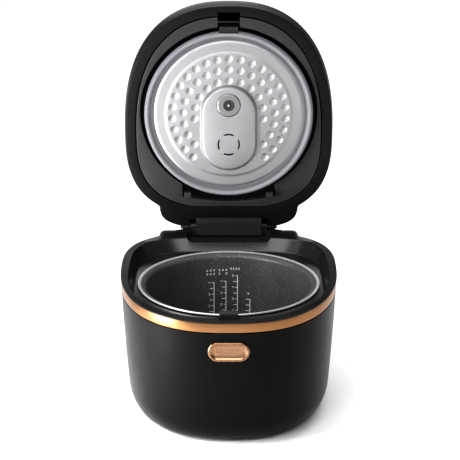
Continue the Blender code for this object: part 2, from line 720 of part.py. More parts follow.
def add_hinge_arm(materials):
    """Arm that turns on the pin: a flat face towards the pot, a round knuckle, and a flange inside."""
    outline = [(-44.0, 3.5), (-14.5, 3.5), (-14.5, -7.0), (-10.0, -11.5), (7.5, -11.5)]
    for degrees in (-42, -28, -10, 10, 30, 50, 70, 90):
        angle = math.radians(degrees)
        outline.append((KNUCKLE_RADIUS * math.cos(angle), KNUCKLE_RADIUS * math.sin(angle)))
    outline += [(-6.0, 11.5), (-14.5, 7.4), (-44.0, 7.0)]
    outline = [(HINGE_Y + a, HINGE_Z + b) for a, b in outline]
    arm = add_solid("hinge_arm", prism(outline, -ARM_HALF_WIDTH, ARM_HALF_WIDTH, "X"),
                    materials["dark_grey"], "lid", origin=(0, HINGE_Y, HINGE_Z))
    centre = (0, HINGE_Y, HINGE_Z)
    cut(arm, "pin_bore", disc(PIN_RADIUS + BORE_GAP, -60, 60, "X", centre, 20), "lid")
    cut(arm, "spring_room", disc(7.0, -13, 13, "X", centre, 20), "lid")
    cut(arm, "spring_slot", box((-12.8, HINGE_Y - 6.5, HINGE_Z), (12.8, HINGE_Y, HINGE_Z + 20)), "lid")
    add_solid("hinge_spring", helix(4.7, 0.7, -11.5, 11.5, 7, "X", centre), materials["steel"],
              "lid", origin=centre)


def add_latch(materials):
    outline = [(-125.0, -12.0), (-125.0, 5.8), (-124.0, 7.0), (-117.0, 7.0), (-115.5, 5.2), (-117.4, 4.3),
               (-121.6, 4.3), (-121.6, -8.0), (-119.4, -12.0), (-118.8, -24.0), (-121.2, -40.0),
               (-124.0, -40.0), (-126.0, -24.0)]
    hook = add_solid("latch_hook", prism(outline, -10.8, 10.8, "X"), materials["dark_grey"],
                     origin=(0, LATCH_Y, LATCH_Z))
    cut(hook, "hook_bore", disc(1.8, -20, 20, "X", (0, LATCH_Y, LATCH_Z), 16))
    profile = [(0, -15.0), (1.5, -15.0), (1.5, 15.0), (0, 15.0)]
    add_solid("latch_pin", lathe(profile, 14, "X", (0, LATCH_Y, LATCH_Z), closed=False),
              materials["steel"], origin=(0, LATCH_Y, LATCH_Z))
    add_solid("latch_spring", helix(3.0, 0.45, -119.0, -115.4, 3, "Y", (0, 0, -34)),
              materials["steel"], origin=(0, -115, -34))


def add_button(materials):
    """Push button: raised edge around a dished face, a flange behind the shell and a post to the latch."""
    steps = ((3.6, -137.9), (2.6, -138.9), (1.6, FRONT_MOST), (0.6, -139.2), (0.0, -138.2), (0.0, -133.0),
             (-1.6, -133.0), (-1.6, -131.4), (3.0, -131.4))
    rings = [button_outline(shrink, y) for shrink, y in steps]
    button = add_solid("release_button", skin(rings), materials["rose_gold"],
                       origin=(0, -139, BUTTON_Z))
    fuse(button, "button_post", box((-4.0, -132.2, BUTTON_Z - 3), (4.0, -125.4, BUTTON_Z + 1)))
    add_solid("button_spring", helix(3.0, 0.45, -130.8, -115.4, 5, "Y", (14.5, 0, BUTTON_Z)),
              materials["steel"], origin=(14.5, -115, BUTTON_Z))


# ---------------------------------------------------------------- lid

def lid_point(edge, share, height, drop=0.0, pull=0.0):
    """Point at a share of the way from the lid's centre to an edge point, drawn in by pull."""
    away = Vector((edge[0], edge[1] - LID_CENTRE_Y))
    distance = away.length
    flat = away * ((share * distance - pull) / distance)
    return (flat.x, LID_CENTRE_Y + flat.y, height - drop)


def lid_surface(pull, drop, shares, steps):
    """Rings from the small top ring down the dome and the shoulder to the lid's lower edge."""
    edge = ring(lid_reach(-2.0), 0.0)
    rings = []
    for share in shares:
        height = LID_TOP - LID_DOME * (share / LID_SHOULDER) ** 2
        rings.append([lid_point(p, share, height, drop) for p in edge])
    for k in range(steps - 1, -1, -1):
        angle = math.pi / 2 * k / steps
        share = 1 - (1 - LID_SHOULDER) * (1 - math.cos(angle))
        ring_points = []
        for p in edge:
            start = split_height(p[1]) + 24
            height = start + (LID_SHOULDER_Z - start) * math.sin(angle)
            ring_points.append(lid_point(p, share, height, drop * math.sin(angle), pull * math.cos(angle)))
        rings.append(ring_points)
    rings.append(ring(lid_reach(-1.4 + pull), lambda y: split_height(y) + 13))
    rings.append(ring(lid_reach(0.4 + pull), lambda y: split_height(y) + 4.1))
    return rings


def lid_top_height(x, y):
    """Height of the lid's dome at a place on its flat top."""
    near = 0.0
    far = 1.0
    for _ in range(30):
        share = (near + far) / 2
        if share > 0 and within_plan(x / share, LID_CENTRE_Y + (y - LID_CENTRE_Y) / share, -2.0,
                                     LID_LOBE_REACH):
            far = share
        else:
            near = share
    return LID_TOP - LID_DOME * (far / LID_SHOULDER) ** 2


def add_lid_cover(materials):
    outside = lid_surface(0.0, 0.0, (0.12, 0.42, LID_SHOULDER), 4)
    inside = lid_surface(LID_WALL, LID_WALL, (0.12, LID_SHOULDER), 3)
    rings = outside + inside[::-1]
    cover = add_solid("lid_cover", skin(rings), materials["satin_black"], "lid")
    cut(cover, "knuckle_way", box((-50.9, 140, 0), (50.9, 180, 33)), "lid")
    cut(cover, "steam_well", disc(24.4, 45, 80, "Z", (0, STEAM_Y, 0), 24), "lid")
    middle = (PANEL_Y[0] + PANEL_Y[1]) / 2
    half = (PANEL_Y[1] - PANEL_Y[0]) / 2
    opening = rounded_rectangle(PANEL_HALF_WIDTH + 0.4, half + 0.4, 8.4, (0, middle))
    cut(cover, "panel_window", prism(opening, 45, 80, "Z"), "lid")


def add_lid_rim(materials):
    """Flat band round the lid's underside; it reaches back under the lobe and round the hinge arm."""
    low = LID_GAP
    high = 3.8
    rings = [ring(lid_reach(0.3), lambda y: split_height(y) + low),
             ring(lid_reach(0.3), lambda y: split_height(y) + high),
             ring(liner_reach(0.4), lambda y: split_height(y) + high),
             ring(liner_reach(0.4), lambda y: split_height(y) + low)]
    rim = add_solid("lid_rim", skin(rings, wrap=True), materials["dark_grey"], "lid")
    cut(rim, "arm_way", box((-43.2, 141.1, 0), (43.2, 175, 40)), "lid")
    cut(rim, "ear_way", box((-50.9, 145.8, 0), (50.9, 175.5, 41)), "lid")
    cut(rim, "catch_way", box((-13.9, -131, -10), (13.9, -100, 30)), "lid")


def add_lid_liner(materials):
    """Pan that holds the inner lid: a flat edge, a recess wall and a ceiling."""
    corners = [math.atan2(113, side * 60) for side in (1, -1)]
    thetas = sorted([2 * math.pi * k / RING_COUNT for k in range(RING_COUNT)] + corners)
    levels = ((circle_reach(12), 20.0), (recess_reach(2.4), 20.0),
              (recess_reach(2.4), lambda y: split_height(y) + 4.2),
              (liner_reach(0.0), lambda y: split_height(y) + 4.2),
              (liner_reach(0.0), lambda y: split_height(y) + LID_GAP),
              (recess_reach(0.0), lambda y: split_height(y) + LID_GAP),
              (recess_reach(0.0), 17.8), (circle_reach(12), 17.8))
    rings = [ring(reach, height, thetas) for reach, height in levels]
    liner = add_solid("lid_liner", skin(rings), materials["dark_grey"], "lid")
    cut(liner, "catch_pocket", box((-13.9, -123.8, -10), (13.9, -104, 16)), "lid")
    cut(liner, "catch_mouth", box((-13.8, -131, -10), (13.8, -123, 30)), "lid")
    cut(liner, "steam_hole", disc(9.9, 10, 30, "Z", (0, STEAM_Y, 0), 20), "lid")


def add_lid_fittings(materials):
    catch = [(-13.5, 15.6), (-13.5, 1.2), (13.5, 1.2), (13.5, 15.6), (11.6, 15.6), (11.6, 3.4), (-11.6, 3.4),
             (-11.6, 15.6)]
    add_solid("lid_catch", prism(catch, -120.3, -118.4, "Y"), materials["black_steel"], "lid")
    for name, side in (("inner_lid_lug_left", -1), ("inner_lid_lug_right", 1)):
        low_x = min(side * 48.5, side * 57.5)
        add_solid(name, box((low_x, 104.8, 5.0), (low_x + 9.0, 112.4, 17.5)), materials["dark_grey"], "lid")
    clip = [(-113.0, 0.6), (-105.8, 0.6), (-105.8, 3.0), (-110.4, 3.4), (-110.4, 15.5), (-113.0, 15.5)]
    add_solid("inner_lid_clip", prism(clip, -11.7, 11.7, "X"), materials["satin_black"], "lid",
              origin=(0, -110, 3))
    heater = [(0, 9.6), (88, 9.6), (88, 14.0), (86.5, 14.0), (86.5, 11.2), (0, 11.2)]
    plate = add_solid("lid_heater", lathe(heater, 28, closed=False), materials["aluminium"], "lid")
    cut(plate, "heater_holes", joined([disc(19, 0, 20, "Z", (0, STEAM_Y, 0), 16),
                                       disc(16.5, 0, 20, "Z", (0, SENSOR_Y, 0), 16)]), "lid")


def add_lid_controls(materials):
    """Panel that follows the dome in its window, and the board under it."""
    middle = (PANEL_Y[0] + PANEL_Y[1]) / 2
    half = (PANEL_Y[1] - PANEL_Y[0]) / 2
    edge = rounded_rectangle(PANEL_HALF_WIDTH, half, 8.0, (0, middle))

    def level(share, drop):
        spots = [(x * share, middle + (y - middle) * share) for x, y in edge]
        return [(x, y, lid_top_height(x, y) - drop) for x, y in spots]
    rings = [level(0.06, 0.0), level(0.5, 0.0), level(1.0, 0.0), level(1.0, 2.4), level(0.06, 2.4)]
    add_solid("control_panel", skin(rings), materials["gloss_black"], "lid")
    board = add_solid("control_board", box((-38, -86, 50.0), (38, -36, 51.6)), materials["board_green"], "lid")
    fuse(board, "board_display", joined([box((-20, -72, 51.0), (20, -48, 57.0)),
                                         box((-33, -80, 51.0), (-26, -73, 55.0)),
                                         box((26, -80, 51.0), (33, -73, 55.0))]), "lid")


def add_steam_parts(materials):
    seat = [(22.9, 64.2), (24.0, 64.2), (24.0, 50.0), (9.4, 50.0), (9.4, 12.6), (7.6, 12.6), (7.6, 51.6),
            (22.9, 51.6)]
    centre = (0, STEAM_Y, 0)
    add_solid("steam_seat", lathe(seat, 24, "Z", centre), materials["inner_plastic"], "lid")
    cap = [(0, 65.6), (19.5, 65.3), (22.4, 64.4), (22.4, 53.0), (20.8, 53.0), (20.8, 62.8), (0, 63.2)]
    lid_cap = add_solid("steam_cap", lathe(cap, 24, "Z", centre, closed=False), materials["satin_black"],
                        "lid", origin=(0, STEAM_Y, 60))
    slots = [box((-9, STEAM_Y - 7.2 + 5.6 * k, 60), (9, STEAM_Y - 4.0 + 5.6 * k, 70)) for k in range(3)]
    cut(lid_cap, "cap_slots", joined(slots), "lid")


def add_inner_lid(materials):
    """Pressed plate with a hollow raised pad that holds the sensor and the steam slots."""
    profile = [(0, 0.6), (80.6, 0.6), (81.8, 1.4), (94.5, 1.4), (95.3, 2.4), (99.4, 2.4), (99.4, 4.2),
               (94.0, 4.2), (80.0, 3.0), (0, 2.6)]
    plate = add_solid("inner_lid", lathe(profile, 40, closed=False), materials["aluminium"], "lid")
    pad = skin([[(x, y, z) for x, y in stadium(radius, *PAD_Y)]
                for radius, z in ((PAD_RADIUS, -5.6), (PAD_RADIUS + 1.6, -4.4), (PAD_RADIUS + 4.0, 1.6))])
    fuse(plate, "pad", pad, "lid")
    hollow = skin([[(x, y, z) for x, y in stadium(radius, *PAD_Y)]
                   for radius, z in ((PAD_RADIUS - 0.8, -4.2), (PAD_RADIUS + 1.8, 2.0), (PAD_RADIUS + 1.8, 9))])
    cut(plate, "pad_hollow", hollow, "lid")
    cut(plate, "sensor_hole", disc(15.3, -12, 8, "Z", (0, SENSOR_Y, 0), 20), "lid")
    slots = []
    for quarter in range(4):
        arc = []
        for radius, order in ((12.4, 1), (14.4, -1)):
            for k in range(4):
                share = k / 3 if order > 0 else 1 - k / 3
                angle = math.radians(90 * quarter + (-27 + 54 * share))
                arc.append((radius * math.cos(angle), STEAM_Y + radius * math.sin(angle)))
        slots.append(prism(arc, -9, -3, "Z"))
    cut(plate, "steam_slots", joined(slots), "lid")


def add_inner_lid_fittings(materials):
    seal_profile = [(99.8, 1.4), (103.0, -1.9), (105.0, -1.9), (107.7, 2.0), (107.7, 6.0), (106.2, 7.4),
                    (99.8, 7.4)]
    seal = add_solid("lid_seal", lathe(seal_profile, 40), materials["silicone"], "lid")
    cut(seal, "clip_seat", box((-12.4, -115, -5), (12.4, -105.2, 3.8)), "lid")
    sensor = [(0, -7.2), (2.6, -7.2), (3.2, -6.4), (6.6, -6.4), (7.4, -7.6), (13.6, -7.2), (14.9, -6.2),
              (14.9, 4.0), (0, 4.0)]
    add_solid("lid_sensor", lathe(sensor, 20, "Z", (0, SENSOR_Y, 0), closed=False), materials["rubber"],
              "lid", origin=(0, SENSOR_Y, 0))
    duct = [(16.2, -3.8), (17.6, -3.8), (17.6, 7.2), (4.0, 7.2), (4.0, 5.8), (16.2, 5.8)]
    add_solid("steam_valve", lathe(duct, 20, "Z", (0, STEAM_Y, 0)), materials["silicone"], "lid",
              origin=(0, STEAM_Y, 0))


def main():
    clear_scene()
    add_frames()
    materials = make_materials()
    add_outer_shell(materials)
    add_trim_band(materials)
    add_upper_frame(materials)
    add_base_cover(materials)
    add_feet(materials)
    add_base_screws(materials)
    add_pot_well(materials)
    add_inner_pot(materials)
    add_coil_carrier(materials)
    add_induction_coil(materials)
    add_ferrites(materials)
    add_pot_sensor(materials)
    add_electronics(materials)
    add_fan(materials)
    add_inlet(materials)
    add_hinge(materials)
    add_hinge_arm(materials)
    add_latch(materials)
    add_button(materials)
    add_lid_cover(materials)
    add_lid_rim(materials)
    add_lid_liner(materials)
    add_lid_fittings(materials)
    add_lid_controls(materials)
    add_steam_parts(materials)
    add_inner_lid(materials)
    add_inner_lid_fittings(materials)


main()
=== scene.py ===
"""Rice cooker with its lid open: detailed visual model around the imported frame.

Shapes are written in millimetres in the cooker's own frame: the pot's axis is x = y = 0, the pot's rim
is z = 0, the front is -Y. Lid pieces are written as they lie when the lid is shut and are swung open.
"""
import json
import math

import bmesh
import bpy
import numpy as np
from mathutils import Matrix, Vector


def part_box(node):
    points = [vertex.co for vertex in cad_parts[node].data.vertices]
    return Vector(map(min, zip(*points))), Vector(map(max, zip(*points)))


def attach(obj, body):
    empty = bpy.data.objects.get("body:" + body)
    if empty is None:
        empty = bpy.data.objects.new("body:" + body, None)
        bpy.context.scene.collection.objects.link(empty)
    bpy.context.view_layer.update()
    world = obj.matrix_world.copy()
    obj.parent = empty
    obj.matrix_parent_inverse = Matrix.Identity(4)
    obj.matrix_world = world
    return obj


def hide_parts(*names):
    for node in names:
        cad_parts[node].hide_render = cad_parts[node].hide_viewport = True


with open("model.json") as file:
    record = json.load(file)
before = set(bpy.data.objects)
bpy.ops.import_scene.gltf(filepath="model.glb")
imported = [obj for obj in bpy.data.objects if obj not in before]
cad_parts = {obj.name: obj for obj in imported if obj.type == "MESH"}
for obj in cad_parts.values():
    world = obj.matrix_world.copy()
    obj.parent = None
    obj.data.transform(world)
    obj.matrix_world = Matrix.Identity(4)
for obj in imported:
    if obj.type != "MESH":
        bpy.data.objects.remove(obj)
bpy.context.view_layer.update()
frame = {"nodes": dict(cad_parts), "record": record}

MM = 0.001
POT_LOW, POT_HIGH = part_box("inner_pot")
ORIGIN = Vector(((POT_LOW[0] + POT_HIGH[0]) / 2, (POT_LOW[1] + POT_HIGH[1]) / 2, POT_HIGH[2]))
HINGE = Vector(next(j for j in frame["record"]["behaviour"]["joints"] if j["name"] == "lid_hinge")["pos_m"])
HINGE_Y = (HINGE.y - ORIGIN.y) / MM
HINGE_Z = (HINGE.z - ORIGIN.z) / MM

# ---------------------------------------------------------------- plan outlines

SAMPLES = 288
UNIFORM = np.arange(SAMPLES) * 2 * math.pi / SAMPLES
HALF_WIDTH = 133.0
WIDEST_Y = 30.0
FRONT_REACH = 169.3
FRONT_POWER = 2.42
REAR_REACH = 112.5
REAR_POWER = 2.8
LOBE_HALF_WIDTH = 90.0
LOBE_Y = 129.0
LOBE_POWER = 2.9
LOBE_LEAST_DEPTH = 12.0
BODY_LOBE = 38.0
LID_LOBE = 30.0
SPLIT_Z = 8.56
SPLIT_SLOPE = 0.051
DECK_BEND_Y = 143.0
DECK_LENGTH = 24.0
DECK_FALL = 13.0
BASE_Z = -159.0
RIM_EDGE = 1.9
BAND_HEIGHT = 11.5
LEDGE_Z = -3.0
LID_GAP = 0.8
BUTTON_Z = -35.7
BUTTON_HALF_WIDTH = 24.3
BUTTON_HALF_HEIGHT = 12.1
SENSOR_Y = -14.0
STEAM_Y = 37.5
PAD_Y = (-3.0, 37.2)
INLET_Z = -108.0
HOOK_PIVOT = (0, -122.5, -18.0)


def bisect(inside, thetas):
    """Distance from the axis to the edge of a region, for each direction."""
    near = np.zeros_like(thetas)
    far = np.full_like(thetas, 260.0)
    cos, sin = np.cos(thetas), np.sin(thetas)
    for _ in range(34):
        middle = (near + far) / 2
        hit = inside(middle * cos, middle * sin)
        near = np.where(hit, middle, near)
        far = np.where(hit, far, middle)
    return near


def squarish(x, y, centre_y, half_width, front, rear, front_power, rear_power):
    reach = np.where(y < centre_y, front, rear)
    power = np.where(y < centre_y, front_power, rear_power)
    return (np.abs(x) / half_width) ** power + (np.abs(y - centre_y) / reach) ** power <= 1


def plan(inset, lobe):
    """Outline of body or lid drawn in by inset, with the corner between main outline and lobe softened."""
    def reach(thetas):
        main = bisect(lambda x, y: squarish(x, y, WIDEST_Y, HALF_WIDTH - inset, FRONT_REACH - inset,
                                            REAR_REACH - inset, FRONT_POWER, REAR_POWER), thetas)
        depth = max(lobe - inset, LOBE_LEAST_DEPTH)
        start = LOBE_Y + lobe - inset - depth
        half = LOBE_HALF_WIDTH - inset

        def in_lobe(x, y):
            share = np.maximum(y - start, 0) / depth
            return (y > 0) & ((np.abs(x) / half) ** LOBE_POWER + share ** LOBE_POWER <= 1)
        lobe_reach = bisect(in_lobe, thetas)
        soft = 1.1
        return soft * np.logaddexp(main / soft, lobe_reach / soft)
    return reach


def body(inset):
    return plan(inset, BODY_LOBE)


def lid(inset):
    return plan(inset, LID_LOBE)


def rim_inner(grow):
    return lambda thetas: bisect(lambda x, y: squarish(
        x, y, 10, 122.5 + grow, 138.3 + grow, 111 + grow, FRONT_POWER, 4.0), thetas)


def ledge(grow):
    def reach(thetas):
        square = bisect(lambda x, y: squarish(
            x, y, 0, 115.5 + grow, 115.5 + grow, 115.5 + grow, 3.7, 3.7), thetas)
        return np.minimum(square, rim_inner(grow - 3.0)(thetas))
    return reach


def liner(grow):
    """Parallel to the lid's main outline, and cut straight in front of the hinge."""
    return lambda thetas: bisect(lambda x, y: squarish(
        x, y, WIDEST_Y, 119.0 + grow, 155.6 + grow, 100.0 + grow, FRONT_POWER, REAR_POWER)
        & (y <= 127.5 + grow), thetas)


def recess(grow):
    """Round opening for the inner lid, with a wider flat part at the back for its lugs."""
    def inside(x, y):
        bulge = 113 + grow + 6.5 * (1 - (x / 60) ** 2)
        return (np.hypot(x, y) <= 112.8 + grow) | ((y > 0) & (np.abs(x) <= 60 + grow) & (y <= bulge))
    return lambda thetas: bisect(inside, thetas)


def circle(radius):
    return lambda thetas: np.full_like(thetas, radius)


def split(y):
    return SPLIT_Z + SPLIT_SLOPE * y


def deck(y):
    """Top of the rim, which falls away behind the hinge notch."""
    fall = np.maximum(0.0, y - DECK_BEND_Y) / DECK_LENGTH
    return split(y) - DECK_FALL * fall ** 1.9


def taper(z):
    depth = max(0.0, -z)
    return 0.034 * depth + 0.00018 * depth ** 2


def ring(reach, height, thetas=UNIFORM):
    """Points all round; height is a number, an array or a function of y."""
    distance = reach(thetas)
    x = distance * np.cos(thetas)
    y = distance * np.sin(thetas)
    z = height(y) if callable(height) else height
    return np.stack([x, y, np.broadcast_to(z, x.shape)], axis=1)


def off(height, drop):
    return lambda y: height(y) - drop


# ---------------------------------------------------------------- mesh helpers

def to_world(points):
    return [ORIGIN + Vector(p) * MM for p in points]


def to_open(points):
    """Lid points, written shut, swung back by a quarter turn about the hinge."""
    return [HINGE + Vector((p[0], p[2] - HINGE_Z, HINGE_Y - p[1])) * MM for p in points]


PLACE = {"body": to_world, "lid": to_open}
LID_BODIES = ("lid", "lid_clip", "inner_lid_set", "vent_cap")


def skin(rings, wrap=False, caps=True):
    rings = [np.asarray(r, dtype=float) for r in rings]
    count = len(rings[0])
    points = np.concatenate(rings)
    faces = []
    spans = len(rings) if wrap else len(rings) - 1
    for k in range(spans):
        low = k * count
        high = ((k + 1) % len(rings)) * count
        for i in range(count):
            j = (i + 1) % count
            faces.append((low + i, low + j, high + j, high + i))
    if not wrap and caps:
        faces.append(tuple(reversed(range(count))))
        faces.append(tuple(range(len(points) - count, len(points))))
    return [tuple(p) for p in points], faces


def bend(start, here, end, steps):
    """Points of a smooth corner from start to end, drawn towards here."""
    shares = [k / steps for k in range(steps + 1)]
    return [(1 - t) ** 2 * start + 2 * t * (1 - t) * here + t * t * end for t in shares]


def rounded(path, radii, steps, closed=False):
    """A path of 2D points with its corners rounded; radii is one number or one per point."""
    path = [np.array(p, dtype=float) for p in path]
    count = len(path)
    if not hasattr(radii, "__len__"):
        radii = [radii] * count
    out = []
    for i, here in enumerate(path):
        if radii[i] <= 0 or (not closed and i in (0, count - 1)):
            out.append(tuple(here))
            continue
        before = path[i - 1] - here
        after = path[(i + 1) % count] - here
        pull = min(radii[i], 0.48 * np.linalg.norm(before), 0.48 * np.linalg.norm(after))
        start = here + before / np.linalg.norm(before) * pull
        end = here + after / np.linalg.norm(after) * pull
        out.extend(tuple(point) for point in bend(start, here, end, steps))
    return out


def lathe(profile, count, axis="Z", centre=(0, 0, 0), closed=True):
    size = len(profile)
    points = []
    for k in range(count):
        angle = 2 * math.pi * k / count
        cos, sin = math.cos(angle), math.sin(angle)
        for radius, t in profile:
            spot = {"X": (t, radius * cos, radius * sin), "Y": (radius * cos, t, radius * sin),
                    "Z": (radius * cos, radius * sin, t)}[axis]
            points.append(tuple(s + c for s, c in zip(spot, centre)))
    faces = []
    for k in range(count):
        here, there = k * size, ((k + 1) % count) * size
        for i in range(size if closed else size - 1):
            j = (i + 1) % size
            faces.append((here + i, here + j, there + j, there + i))
    return points, faces


def prism(outline, low, high, axis):
    rings = []
    for t in (low, high):
        rings.append([{"X": (t, a, b), "Y": (a, t, b), "Z": (a, b, t)}[axis] for a, b in outline])
    return skin(rings)


def box(low, high):
    return prism([(low[0], low[1]), (high[0], low[1]), (high[0], high[1]), (low[0], high[1])],
                 low[2], high[2], "Z")


def arc(centre, radius, start, sweep, steps):
    """Points of a circular arc; start and sweep are in degrees."""
    angles = [math.radians(start + sweep * k / steps) for k in range(steps + 1)]
    return [(centre[0] + radius * math.cos(a), centre[1] + radius * math.sin(a)) for a in angles]


def rounded_rectangle(half_a, half_b, radius, centre=(0, 0), steps=6):
    outline = []
    for quarter, (side_a, side_b) in enumerate(((1, 1), (-1, 1), (-1, -1), (1, -1))):
        corner = (centre[0] + side_a * (half_a - radius), centre[1] + side_b * (half_b - radius))
        outline += arc(corner, radius, 90 * quarter, 90, steps)
    return outline


def stadium(radius, low, high, steps):
    """Upright slot shape: two half circles about (0, low) and (0, high)."""
    return arc((0, high), radius, 0, 180, steps) + arc((0, low), radius, 180, 180, steps)


def joined(shapes):
    points = []
    faces = []
    for shape_points, shape_faces in shapes:
        start = len(points)
        points.extend(shape_points)
        faces.extend(tuple(start + i for i in face) for face in shape_faces)
    return points, faces


def add_object(name, data):
    obj = bpy.data.objects.new(name, data)
    bpy.context.scene.collection.objects.link(obj)
    return obj


def mesh_object(name, shape, side):
    points, faces = shape
    mesh = bpy.data.meshes.new(name)
    mesh.from_pydata(PLACE[side](points), [], faces)
    edit = bmesh.new()
    edit.from_mesh(mesh)
    bmesh.ops.remove_doubles(edit, verts=edit.verts, dist=1e-7)
    bmesh.ops.dissolve_degenerate(edit, edges=edit.edges, dist=1e-8)
    bmesh.ops.holes_fill(edit, edges=[e for e in edit.edges if e.is_boundary], sides=0)
    bmesh.ops.recalc_face_normals(edit, faces=edit.faces)
    edit.to_mesh(mesh)
    edit.free()
    return add_object(name, mesh)


def boolean(obj, shapes, side, operation):
    """Cuts or joins shapes and keeps only the result."""
    for index, shape in enumerate(shapes):
        helper = mesh_object("helper_%d" % index, shape, side)
        modifier = obj.modifiers.new("step", 'BOOLEAN')
        modifier.operation = operation
        modifier.solver = 'EXACT'
        modifier.object = helper
        view = bpy.context.evaluated_depsgraph_get()
        view.update()
        result = bpy.data.meshes.new_from_object(obj.evaluated_get(view))
        obj.modifiers.clear()
        old = obj.data
        obj.data = result
        bpy.data.meshes.remove(old)
        helper_mesh = helper.data
        bpy.data.objects.remove(helper, do_unlink=True)
        bpy.data.meshes.remove(helper_mesh)


def finish_piece(obj, name, material, rides, stands_for, slot, sharp=32, bevel=0.0, steps=2):
    """Shading, optional edge rounding, material, its body, and hiding the CAD nodes it stands for."""
    obj.data.name = name
    obj.data.shade_smooth()
    obj.data.set_sharp_from_angle(angle=math.radians(sharp))
    obj.data.materials.clear()
    for entry in material if isinstance(material, (list, tuple)) else [material]:
        obj.data.materials.append(entry)
    if bevel:
        modifier = obj.modifiers.new("edges", 'BEVEL')
        modifier.width = bevel * MM
        modifier.segments = steps
        modifier.limit_method = 'ANGLE'
        modifier.angle_limit = math.radians(35)
        modifier.harden_normals = True
    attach(obj, rides)
    if stands_for:
        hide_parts(*stands_for)
    return obj


def piece(name, shape, material, rides, stands_for=(), slot=None, adds=(), cuts=(), **edges):
    """A finished piece: its shape with the other shapes joined to it, and then the last ones cut away."""
    side = "lid" if rides in LID_BODIES else "body"
    obj = mesh_object(name, shape, side)
    boolean(obj, adds, side, 'UNION')
    boolean(obj, cuts, side, 'DIFFERENCE')
    return finish_piece(obj, name, material, rides, stands_for, slot, **edges)


# ---------------------------------------------------------------- materials

BLOTCH_SCALE = 18.0          # of the broad tone changes, per metre


def add_node(tree, kind, **values):
    """Shader node with its input values; an underscore in a name stands for a space."""
    node = tree.nodes.new("ShaderNode" + kind)
    for name, value in values.items():
        node.inputs[name.replace("_", " ")].default_value = value
    return node


def add_maths(tree, operation, second=0.5):
    node = tree.nodes.new("ShaderNodeMath")
    node.operation = operation
    node.inputs[1].default_value = second
    return node


def link_all(tree, *links):
    for source, output, target, socket in links:
        tree.links.new(source.outputs[output], target.inputs[socket])


def surface(name, colour, roughness, metallic=0.0, vary=0.12, grain=900.0, bump=0.05, stretch=(1, 1, 1),
            rough_vary=0.06, specular=0.5, depth=0.0002):
    """Plastic, coating or metal: broad tone change, fine grain in colour, roughness and height."""
    material = bpy.data.materials.new(name)
    material.use_nodes = True
    tree = material.node_tree
    shader = tree.nodes["Principled BSDF"]
    shader.inputs["Metallic"].default_value = metallic
    shader.inputs["Specular IOR Level"].default_value = specular
    place = add_node(tree, "TexCoord")
    scale = add_node(tree, "Mapping", Scale=stretch)
    fine = add_node(tree, "TexNoise", Scale=grain, Detail=3.0)
    broad = add_node(tree, "TexNoise", Scale=BLOTCH_SCALE, Detail=2.0)
    both = add_maths(tree, 'ADD')
    half = add_maths(tree, 'MULTIPLY')
    ramp = add_node(tree, "ValToRGB")
    for stop, position, share in zip(ramp.color_ramp.elements, (0.32, 0.68), (1 - vary, 1 + vary)):
        stop.position = position
        stop.color = (*(min(1.0, c * share) for c in colour), 1)
    rough = add_node(tree, "MapRange", From_Min=0.3, From_Max=0.7, To_Min=max(0.02, roughness - rough_vary),
                     To_Max=min(1.0, roughness + rough_vary))
    relief = add_node(tree, "Bump", Strength=bump, Distance=depth)
    link_all(tree, (place, "Object", scale, "Vector"), (scale, "Vector", fine, "Vector"),
             (place, "Object", broad, "Vector"), (fine, "Fac", both, 0), (broad, "Fac", both, 1),
             (both, 0, half, 0), (half, 0, ramp, "Fac"), (ramp, "Color", shader, "Base Color"),
             (half, 0, rough, "Value"), (rough, "Result", shader, "Roughness"),
             (fine, "Fac", relief, "Height"), (relief, "Normal", shader, "Normal"))
    return material


def add_specks(material, colour, size, amount):
    """Small lighter specks scattered over a coating."""
    tree = material.node_tree
    shader = tree.nodes["Principled BSDF"]
    before = shader.inputs["Base Color"].links[0].from_socket
    place = next(n for n in tree.nodes if n.type == 'TEX_COORD')
    cells = add_node(tree, "TexVoronoi", Scale=size)
    near = add_node(tree, "MapRange", From_Min=0.12, From_Max=0.26, To_Min=1.0, To_Max=0.0)
    channels = add_node(tree, "SeparateColor")
    pick = add_maths(tree, 'GREATER_THAN', 1 - amount)
    both = add_maths(tree, 'MULTIPLY')
    blend = tree.nodes.new("ShaderNodeMix")
    blend.data_type = 'RGBA'
    blend.inputs["B"].default_value = (*colour, 1)
    tree.links.new(before, blend.inputs["A"])
    link_all(tree, (place, "Object", cells, "Vector"), (cells, "Distance", near, "Value"),
             (cells, "Color", channels, "Color"), (channels, "Red", pick, 0), (near, "Result", both, 0),
             (pick, 0, both, 1), (both, 0, blend, "Factor"), (blend, "Result", shader, "Base Color"))


